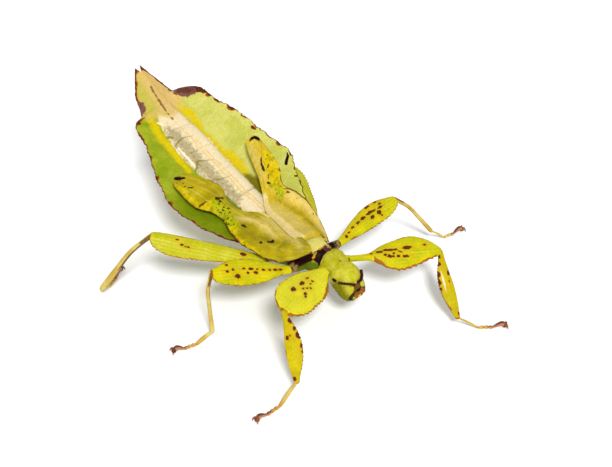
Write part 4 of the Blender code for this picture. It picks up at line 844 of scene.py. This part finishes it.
def abdomen_fields(y, aside, ridge_width, vein):
    """What the abdomen is painted by: its sides, the left one lighter as painted light, raised body, tail,
    veins, brown margins and marks, painted shade and highlights among them.
    """
    gap, is_left = np.abs(aside), aside > 0
    places = np.linspace(ABDOMEN[0][0], ABDOMEN[-1][0], OUTLINE_STEPS)
    outline = profile(ABDOMEN, places)
    margin = margin_distance(aside, y, [(-outline[:, 2], places), (outline[:, 4], places)])
    brown = np.where(is_left, rust_width(y, RUST_LEFT, 51), rust_width(y, RUST_RIGHT, 52))
    frill = np.where(is_left, 0.4 * wander(y, 0.4, 31) + 0.2 * wander(y, 1.4, 32), 0.06 * wander(y, 0.8, 33))
    marks = mark_fields(ABDOMEN_MARKS, y, aside)
    shaken = mark_fields({"midline": ABDOMEN_MARKS["midline"]}, y, aside + 0.12 * wander(y, 1.4, 34))
    tail = np.minimum(y - 42.3 - np.minimum(0.9 * gap, 3.2) - 0.25 * np.maximum(gap - 3.5, 0.0),
                      (5.4 - gap) * 2.0 + 6.0 * smooth(y, 48.0, 49.5))
    return {
        # The left lobe is painted lighter than the right, mostly as painted light for the right lobe turned
        # away from the light
        **marks, **shaken, "lit_left_lobe": aside,
        "left_cloud": np.minimum(aside - 2.6, 0.9 * ripple(y, aside, 3.2, 15) - 0.05),
        # Painted shade: root darkens the right lobe towards its base
        "root": 26.0 - y, "vein": np.where(is_left, (vein - 0.5) * 0.25, ABSENT),
        "speck": np.minimum(marks["ridge_shade"] + 0.3, 0.0) - 0.24,
        "cream": np.minimum(ridge_width + frill - gap, 47.0 - y),
        "tail": tail, "tail_green": np.minimum(tail - 1.0, -1.2 - aside),
        "rust": np.maximum(marks["rust"], brown - margin), "plum_core": marks["plum"] - 0.75,
        "rust_core": np.maximum(marks["rust"] - 0.1, 0.6 * brown - margin)}


def make_abdomen(materials):
    """The leaf-shaped abdomen: thin ragged lobes either side of the raised body."""
    rows, columns = ABDOMEN_GRID
    last = ABDOMEN[-1][0]
    y, share = np.linspace(ABDOMEN[0][0], last, rows)[:, None], np.linspace(-1.0, 1.0, columns)[None, :]
    crest, depth, right, right_edge, left, left_edge = profile(ABDOMEN, y).T[:, :, None]
    ridge_left, ridge_right, ridge_height = profile(RIDGE, y).T[:, :, None]
    half_width, edge = np.where(share > 0, left, right), np.where(share > 0, left_edge, right_edge)
    ridge_width = np.where(share > 0, ridge_left, ridge_right)
    y, share = np.broadcast_arrays(y, share)
    out, aside = np.abs(share), half_width * share
    gap = np.abs(aside)

    # The raised body with its valleys and rings, and the veins of the lobes
    plump = np.minimum(depth / 3.0, 1.0)
    ridge = ridge_height * np.maximum(0.0, 1.0 - (gap / ridge_width) ** 3) ** 0.7
    valley = 0.3 * plump * bell(gap - ridge_width - 0.9, 1.1)
    groove = np.zeros(y.shape)
    for end in SEGMENT_ENDS:
        bend = 0.12 * gap - 0.2 * wander(aside, 0.8, int(end))
        groove = np.maximum(groove, bell(y - end - bend, 0.24))
    lobe = smooth(gap - ridge_width, 0.3, 2.2)
    vein = bell(line_gap(y - 0.55 * gap + 1.1 * ripple(y, aside, 3.0, 11), 3.25), 0.16)
    twig = bell(line_gap(y + 0.35 * gap + 1.2 * ripple(y, aside, 2.2, 12), 1.9), 0.14)
    vein = np.maximum(vein, 0.6 * twig) * lobe

    # The upper and lower sides, the nibbled margins and the notched tip
    wave = 0.2 * ripple(y, aside, 3.0, 13) + 0.07 * ripple(y, aside, 1.0, 14)
    roof = crest + (edge - crest) * out ** 1.7 + wave * lobe
    half_thickness = 0.1 + 0.16 * (1.0 - out)
    core = np.maximum(0.0, 1.0 - (out / CORE_SHARE) ** 2)
    top = roof + half_thickness + ridge - valley + 0.03 * vein
    top = top - 0.16 * groove * (gap < ridge_width) - 0.05 * groove
    bottom = roof - half_thickness - (depth - 1.0) * core ** 0.7 * 0.9 - 0.35 * (1.0 - out) * plump
    bottom = bottom + 0.12 * groove * core
    nibble = np.where(share > 0, 0.2 * wander(y, 0.4, 21) + 0.18 * wander(y, 1.3, 22),
                      0.16 * wander(y, 0.45, 23) + 0.18 * wander(y, 1.3, 24))
    x = aside + np.sign(share) * nibble * smooth(half_width, 0.5, 5.0) * smooth(half_width - gap, 1.2, 0.0)
    notch = (1.0 - out) * np.clip((y - last + TIP_LENGTH) / TIP_LENGTH, 0.0, 1.0) ** 2
    sheets = [np.stack([x, y - TIP_NOTCH[0] * notch, z - TIP_NOTCH[1] * notch], -1) for z in (top, bottom)]
    make_sheet("skin_abdomen", *sheets, materials["abdomen"], "leaf_body", ("abdomen",),
               abdomen_fields(y, aside, ridge_width, vein))


def make_tegmen(side, materials):
    """A thin crumpled forewing with its veins raised."""
    rows, columns = TEGMEN_GRID
    u, v = np.linspace(0.0, 1.0, rows), np.linspace(0.0, 1.0, columns)
    lines = [curve([row[k] for row in TEGMEN[side]], u) for k in range(3)]
    grid = np.swapaxes(curve(lines, v), 0, 1)
    spine = grid[:, columns // 2]
    length = distances(spine)
    end = length[-1] - length
    rounding = np.sqrt(np.clip(1.0 - (np.clip(TEGMEN_TIP - end, 0.0, None) / TEGMEN_TIP) ** 2, 0.004, 1.0))
    grid = spine[:, None] + (grid - spine[:, None]) * rounding[..., None]
    normal = unit(np.cross(np.gradient(grid, axis=0), np.gradient(grid, axis=1)))
    normal = normal * np.where(normal[..., 2:] < 0, -1.0, 1.0)
    width = np.linalg.norm(grid[:, -1] - grid[:, 0], axis=-1)[:, None]
    inner = width / rounding / 2 + width * (v - 0.5)
    length, v = np.broadcast_arrays(length, v)

    # The raised veins, and the crumples and folds of the membrane
    main = np.full((rows, columns), 9.0)
    for place in TEGMEN_VEINS:
        main = np.minimum(main, np.abs(v - place - 0.03 * wander(length, 4.0, int(place * 100))) * width)
    twig = line_gap(length - 0.8 * inner + 0.5 * ripple(length, inner, 2.5, 61), 1.5)
    vein = np.maximum(bell(main, 0.13), 0.45 * bell(twig, 0.12) * smooth(inner, 0.4, 1.5))
    marks = mark_fields(WING_MARKS[side], length, inner)
    bright = np.maximum(marks["lime"], marks["gold"])
    crumple = 0.18 * ripple(length, inner, 2.3, 62)
    crumple = crumple + (0.06 + 0.16 * np.clip(bright + 0.8, 0.0, 1.0)) * ripple(length, inner, 0.8, 63)
    fold = np.exp(-14.0 * np.abs(ripple(length * 0.6 + inner * 0.5, inner - length * 0.3, 1.9, 65)))
    crumple = crumple - 0.1 * fold
    # Raise the pale marks and sink the olive ones, so that their painted light and shade lie on the folds
    crumple = crumple + 0.3 * smooth(marks["pale"], -1.4, 0.6) - 0.3 * smooth(marks["olive"], -1.4, 0.6)

    # The two sides, flat along the seam, at the root and at the rim
    seam = (1.0 - smooth(inner, 0.2, 2.2)) * smooth(16.0 - length, 0.0, 2.0)
    free = smooth(length, 1.5, 5.0) * (1.0 - seam)
    rim = np.minimum(width * np.minimum(v, 1.0 - v), end)
    half_thickness = 0.06 + 0.09 * smooth(rim, 0.0, 0.9)
    middle_sheet = grid + normal * (crumple * free * smooth(end, 0.0, 2.0))[..., None]
    top = middle_sheet + normal * (half_thickness + 0.07 * vein * smooth(rim, 0.0, 0.5))[..., None]
    bottom = middle_sheet - normal * half_thickness[..., None]

    # The brown line along the outer margin, and the rest that the wing is painted by
    line = np.where(length < 20.0, TEGMEN_LINE[side], 0.06) * (1.0 + wander(length, 0.8, 64))
    rust = np.where(v > 0.5, line - width * (1.0 - v), ABSENT)
    speck = marks.get("speck", np.full(v.shape, ABSENT))
    fields = {
        **marks, "vein": (vein - 0.6) * 0.25, "rust": np.maximum(marks["rust"], rust),
        # fold darkens the creases as painted shade
        "speck": np.minimum(speck, 0.0) - 0.14, "fold": (fold - 0.6) * 0.2 * free,
        "mottle": np.minimum(bright, 0.0) - 0.12, "fleck": np.minimum(bright, 0.0) - 0.34}
    make_sheet("forewing_" + side, top, bottom, materials["wing_" + side], "wing",
               ("tegmen_" + side,), fields)


def heading(azimuth, elevation):
    """Unit vector at an azimuth from +X and an elevation, in degrees."""
    a, e = math.radians(azimuth), math.radians(elevation)
    return np.array((math.cos(a) * math.cos(e), math.sin(a) * math.cos(e), math.sin(e)))


def leg_joints(leg):
    """Root, hip, knee, ankle, the tarsus heading and the flat face's heading of a leg in its pose."""
    pair, side = leg.split("_")
    femur_azimuth, knee_height, tibia_azimuth, ankle_height, tarsus_azimuth, face = POSE[leg]
    mirror = np.array((SIDES[side], 1.0, 1.0))
    root, hip = np.array(COXA_ROOT[pair]) * mirror, np.array(HIP[pair]) * mirror
    rise = math.degrees(math.asin((knee_height - hip[2]) / FEMUR_LENGTH[pair]))
    knee = hip + heading(femur_azimuth, rise) * FEMUR_LENGTH[pair]
    fall = math.degrees(math.asin((ankle_height - knee[2]) / TIBIA_LENGTH[pair]))
    ankle = knee + heading(tibia_azimuth, fall) * TIBIA_LENGTH[pair]
    return root, hip, knee, ankle, heading(tarsus_azimuth, 0.0), face


def tooth_line(share, teeth, seed):
    """How far a blade's edge stands out along its length: teeth that lean towards the tip."""
    first, last, count, height = teeth
    place = (share - first) / (last - first) * count
    saw = place - np.floor(place)
    size = 0.65 + 0.35 * wander(np.floor(place), 1.0, seed)
    tooth = np.where(saw < 0.7, saw / 0.7, (1.0 - saw) / 0.3) - 0.4
    within = smooth(share, first, first + 0.05) * (1.0 - smooth(share, last - 0.03, last))
    return height * size * tooth * within


def blade_fields(node, along, aside, t, wide, rib, seed):
    """What a blade is painted by: its ribs, brown edges, spots, a painted highlight on one shin and the dark
    upper side of a thin shin.
    """
    spots = spot_field(along, aside, SPOTS.get(node, []))
    brown = 0.1 + 0.1 * wander(along, 0.8, seed + 2)
    if node.startswith("femur_front"):
        brown = brown + (0.16 + 0.5 * bell(along - 4.8, 1.8)) * (t > 0)
    fore = -t if node == "tibia_middle_left" else t
    dark_side = np.minimum(fore - 0.72, (along[-1] * 0.6 - along) * 0.2)
    return {
        "rib": 0.25 * (rib - 0.8), "furrow": np.minimum(0.25 * (0.1 - rib), wide - 1.0),
        "rust": np.maximum(brown - wide + np.abs(aside) - 9.0 * (wide < 1.0), along - along[-1] + 0.3),
        "spot": spots, "halo": spots + 0.35,
        # pale is a painted highlight along the front left shin
        "pale": spot_field(along, aside, SPOTS.get(node + "_highlight", [])),
        "dark": np.maximum(dark_side, np.minimum(1.6 - 0.5 * along, fore + 0.4))}


def make_blade(part, leg, path, stations, teeth, seed, material, slot):
    """A flattened limb along a path: a lens in section with toothed edges and long fine ribs."""
    rows, columns, ribs = BLADE_GRID[part]
    share = np.linspace(0.0, 1.0, rows)
    t = np.sin(np.linspace(-1.0, 1.0, columns) * math.pi / 2)[None, :]
    centres = curve(path, share)
    along = distances(centres)
    fore, aft, half_thickness = profile(stations, share).T[:, :, None]
    tangent = unit(np.gradient(centres, axis=0))
    across = unit(np.cross(tangent, leg_joints(leg)[5])) * SIDES[leg.split("_")[1]]
    normal = np.cross(across, tangent)

    # The outline with its teeth
    shut = rounded_ends(share, 0.02, 0.025)[:, None]
    wide = np.where(t > 0, fore, aft)
    aside = t * wide * shut
    teeth_out = tooth_line(share, teeth, seed)[:, None] * np.where(t > 0, 1.0, AFT_TEETH)
    teeth_out = teeth_out * np.sign(t) * smooth(np.abs(t), 0.8, 1.0) * np.minimum(wide - 0.5, 1.0)

    # The lens in section, its ribs and the raised line along its middle
    lens = (1.0 - t * t) ** (0.5 + 0.5 * smooth(wide, 0.7, 2.0))
    lift = (BLADE_EDGE + (half_thickness - BLADE_EDGE) * lens) * shut
    broad = smooth(wide, 0.8, 1.6)
    rib = np.cos((aside + 0.2 * wander(along, 2.5, seed + 3)) * ribs * math.tau) ** 2 * broad * (1.0 - t ** 4)
    relief = 0.035 * rib + (0.14 * bell(aside, 0.22) + 0.06 * ripple(along, aside, 1.4, seed + 1)) * broad

    middle = centres[:, None] + across[:, None] * (aside + teeth_out)[..., None]
    top = middle + normal[:, None] * (lift + relief)[..., None]
    bottom = middle - normal[:, None] * (lift + 0.5 * relief)[..., None]
    node = part + "_" + leg
    fields = blade_fields(node, along, aside, t, wide, rib, seed)
    make_sheet("skin_" + node, top, bottom, material, slot, (node,), fields)


def make_claws(leg, tip, direction, materials):
    """The pad and the two hooked claws at the end of a foot."""
    aside = np.cross(direction, (0.0, 0.0, 1.0))
    make_ball("pad_" + leg, tip + direction * 0.3 + (0.0, 0.0, -0.4), PAD_RADII,
              materials["palp"])
    share = np.linspace(0.0, 1.0, 30)
    radii = np.interp(share, *CLAW_RADII) * rounded_ends(share, 0.05, 0.0)
    for name, sign in SIDES.items():
        claw = [tip, tip + aside * sign * 0.45 + direction * 0.6 + (0.0, 0.0, -0.02),
                tip + aside * sign * 0.75 + direction * 0.85 + (0.0, 0.0, -0.72)]
        rings = tube(curve(claw, share), radii, 14)
        rings[..., 2] = np.maximum(rings[..., 2], 0.0)
        make_loft("claw_%s_%s" % (name, leg), rings, materials["claw"])


def make_tarsus(leg, start, direction, materials):
    """Five foot segments on the floor, the last one raised to the claws."""
    length = TARSUS_LENGTH[leg]
    level = TARSUS_RADIUS * 0.75
    flat = [start + direction * length * place for place in TARSUS_FLAT]
    for point in flat:
        point[2] = level
    crown = start + direction * length * 0.84
    crown[2] = CROWN_HEIGHT
    path = [start, (start + flat[0]) / 2 + (0.0, 0.0, 0.12), *flat, crown,
            crown + direction * 0.8 + (0.0, 0.0, -0.05)]
    share = np.linspace(0.0, 1.0, TARSUS_GRID[0])
    joints = np.array(TARSUS_JOINTS)
    k = np.clip(np.searchsorted(joints, share, side="right") - 1, 0, len(joints) - 2)
    t = (share - joints[k]) / (joints[k + 1] - joints[k])
    radii = TARSUS_RADIUS * (0.62 + 0.42 * np.sin(math.pi * t ** 1.6) ** 0.7 + 0.08 * t)
    radii = radii * np.interp(share, TARSUS_PLACES, TARSUS_SWELL[leg.split("_")[1]])
    rings = tube(curve(path, share), radii * rounded_ends(share, 0.02, 0.03), TARSUS_GRID[1])
    rings[..., 2] = np.maximum(rings[..., 2], 0.0)
    place, around = np.meshgrid(share, np.sin(turns(TARSUS_GRID[1])), indexing="ij")
    node_gap = np.abs(place[..., None] - joints[1:5]).min(axis=-1)
    fields = {"toe": (place - 0.6) * 5.0, "joint": 10.0 * (0.035 - node_gap),
              "dark": np.minimum(around * 0.6 - 0.46 + 0.1 * wander(place, 0.06, 5), (place - 0.6) * 3.0)}
    make_loft("foot_" + leg, rings, materials["limb"], ("tarsus_" + leg,), fields)
    make_claws(leg, crown + direction * 0.6, direction, materials)


def make_coxa(leg, root, hip, thigh, materials):
    """The first joint of a leg: green in front, and dark with a pale mottled end on the others."""
    share = np.linspace(0.0, 1.0, COXA_GRID[0])
    centres = curve([root, root + (hip - root) * 0.55, hip + thigh * 0.3], share)
    radii = np.interp(share, *COXA_RADII) * rounded_ends(share, 0.05, 0.12)
    place, around = np.meshgrid(share, np.sin(turns(COXA_GRID[1])), indexing="ij")
    # green paints the lower side dark green: partly the coxa's own green, partly painted shade
    fields = {"green": 0.4 - around, "joint": (place - 0.66) * 3.0, "mottle": (place - 0.5) * 2.0 - 0.3,
              "spot": spot_field(place * 5.0, around, COXA_SPOTS)}
    finish, slot = ("femur", "leaf_body") if leg.startswith("front") else ("coxa", "dark_cuticle")
    make_loft("skin_coxa_" + leg, tube(centres, radii, COXA_GRID[1]), materials[finish],
              ("coxa_" + leg,), fields)


def make_leg(leg, seed, materials):
    """Coxa, femur, tibia and foot of one leg, each running into the next."""
    pair = leg.split("_")[0]
    root, hip, knee, ankle, direction = leg_joints(leg)[:5]
    thigh, shin = unit(knee - hip), unit(ankle - knee)
    make_coxa(leg, root, hip, thigh, materials)
    path = [hip - thigh * JOINT_OVERLAP, (hip + knee) / 2, knee + thigh * JOINT_OVERLAP]
    make_blade("femur", leg, path, FEMUR.get(leg, FEMUR[pair]), FEMUR_TEETH[pair], seed,
               materials[FEMUR_FINISH.get(leg, "femur")], "leaf_body")
    bow = thigh * TIBIA_BOW[pair]
    path = [knee - shin * JOINT_OVERLAP, knee + (ankle - knee) * 0.3 + bow,
            knee + (ankle - knee) * 0.65 + bow * 0.6, ankle + shin * JOINT_OVERLAP]
    finish, slot = ("front_tibia", "leaf_body") if pair == "front" else ("limb", "ochre_limb")
    make_blade("tibia", leg, path, TIBIA[pair], TIBIA_TEETH[pair], seed + 5, materials[finish], slot)
    make_tarsus(leg, ankle, direction, materials)


def make_camera():
    """The camera at the photo's angle."""
    a, e = math.radians(CAMERA_AZIMUTH), math.radians(CAMERA_ELEVATION)
    right = Vector((math.cos(a), math.sin(a), 0.0))
    back = Vector((math.sin(a) * math.cos(e), -math.cos(a) * math.cos(e), math.sin(e)))
    data = bpy.data.cameras.new("camera")
    data.lens, data.sensor_width, data.sensor_fit = CAMERA_LENS, CAMERA_SENSOR, "HORIZONTAL"
    camera = bpy.data.objects.new("camera", data)
    place = back * CAMERA_DISTANCE - right * CAMERA_OFFSET[0] - back.cross(right) * CAMERA_OFFSET[1]
    camera.location = (place - Vector(ORIGIN)) * MM
    camera.rotation_euler = (-back).to_track_quat("-Z", "Y").to_euler()
    bpy.context.scene.collection.objects.link(camera)
    bpy.context.scene.camera = camera


def make_light():
    """The key light: even, from far away and as broad in the sky as its angle."""
    data = bpy.data.lights.new("key", "SUN")
    data.angle, data.energy = math.radians(KEY_ANGLE), KEY_STRENGTH
    light = bpy.data.objects.new("key", data)
    towards = -Vector(heading(KEY_AZIMUTH, KEY_ELEVATION))
    light.rotation_euler = towards.to_track_quat("-Z", "Y").to_euler()
    bpy.context.scene.collection.objects.link(light)


def make_studio():
    """A pale floor, a soft key light from the camera's side and an even pale surround."""
    mesh = bpy.data.meshes.new("floor")
    signs = ((-1, -1), (1, -1), (1, 1), (-1, 1))
    corners = [(x * FLOOR_REACH, y * FLOOR_REACH, -FLOOR_DROP) for x, y in signs]
    mesh.from_pydata(corners, [], [(0, 1, 2, 3)])
    floor = bpy.data.objects.new("floor", mesh)
    bpy.context.scene.collection.objects.link(floor)
    material = bpy.data.materials.new("pale_floor")
    material.use_nodes = True
    shader = material.node_tree.nodes["Principled BSDF"]
    shader.inputs["Base Color"].default_value = FLOOR_WHITE
    shader.inputs["Roughness"].default_value = 0.9
    shader.inputs["Specular IOR Level"].default_value = 0.0
    mesh.materials.append(material)
    make_light()
    world = bpy.data.worlds.new("surround")
    world.use_nodes = True
    background = world.node_tree.nodes["Background"]
    background.inputs["Color"].default_value = (1.0, 1.0, 1.0, 1.0)
    background.inputs["Strength"].default_value = SURROUND_STRENGTH
    bpy.context.scene.world = world
    bpy.context.scene.view_settings.view_transform = "Standard"


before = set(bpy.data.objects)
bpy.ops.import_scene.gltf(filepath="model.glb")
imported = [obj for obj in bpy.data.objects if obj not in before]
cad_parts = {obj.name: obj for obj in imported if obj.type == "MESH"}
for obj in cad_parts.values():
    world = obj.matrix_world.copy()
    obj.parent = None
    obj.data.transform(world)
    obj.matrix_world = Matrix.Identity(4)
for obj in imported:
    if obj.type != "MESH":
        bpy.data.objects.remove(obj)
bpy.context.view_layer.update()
make_camera()
make_studio()
finishes = make_materials()
make_trunk(finishes)
make_head(finishes)
make_head_parts(finishes)
make_abdomen(finishes)
for wing in SIDES:
    make_tegmen(wing, finishes)
for number, which in enumerate(POSE):
    make_leg(which, 100 + 20 * number, finishes)
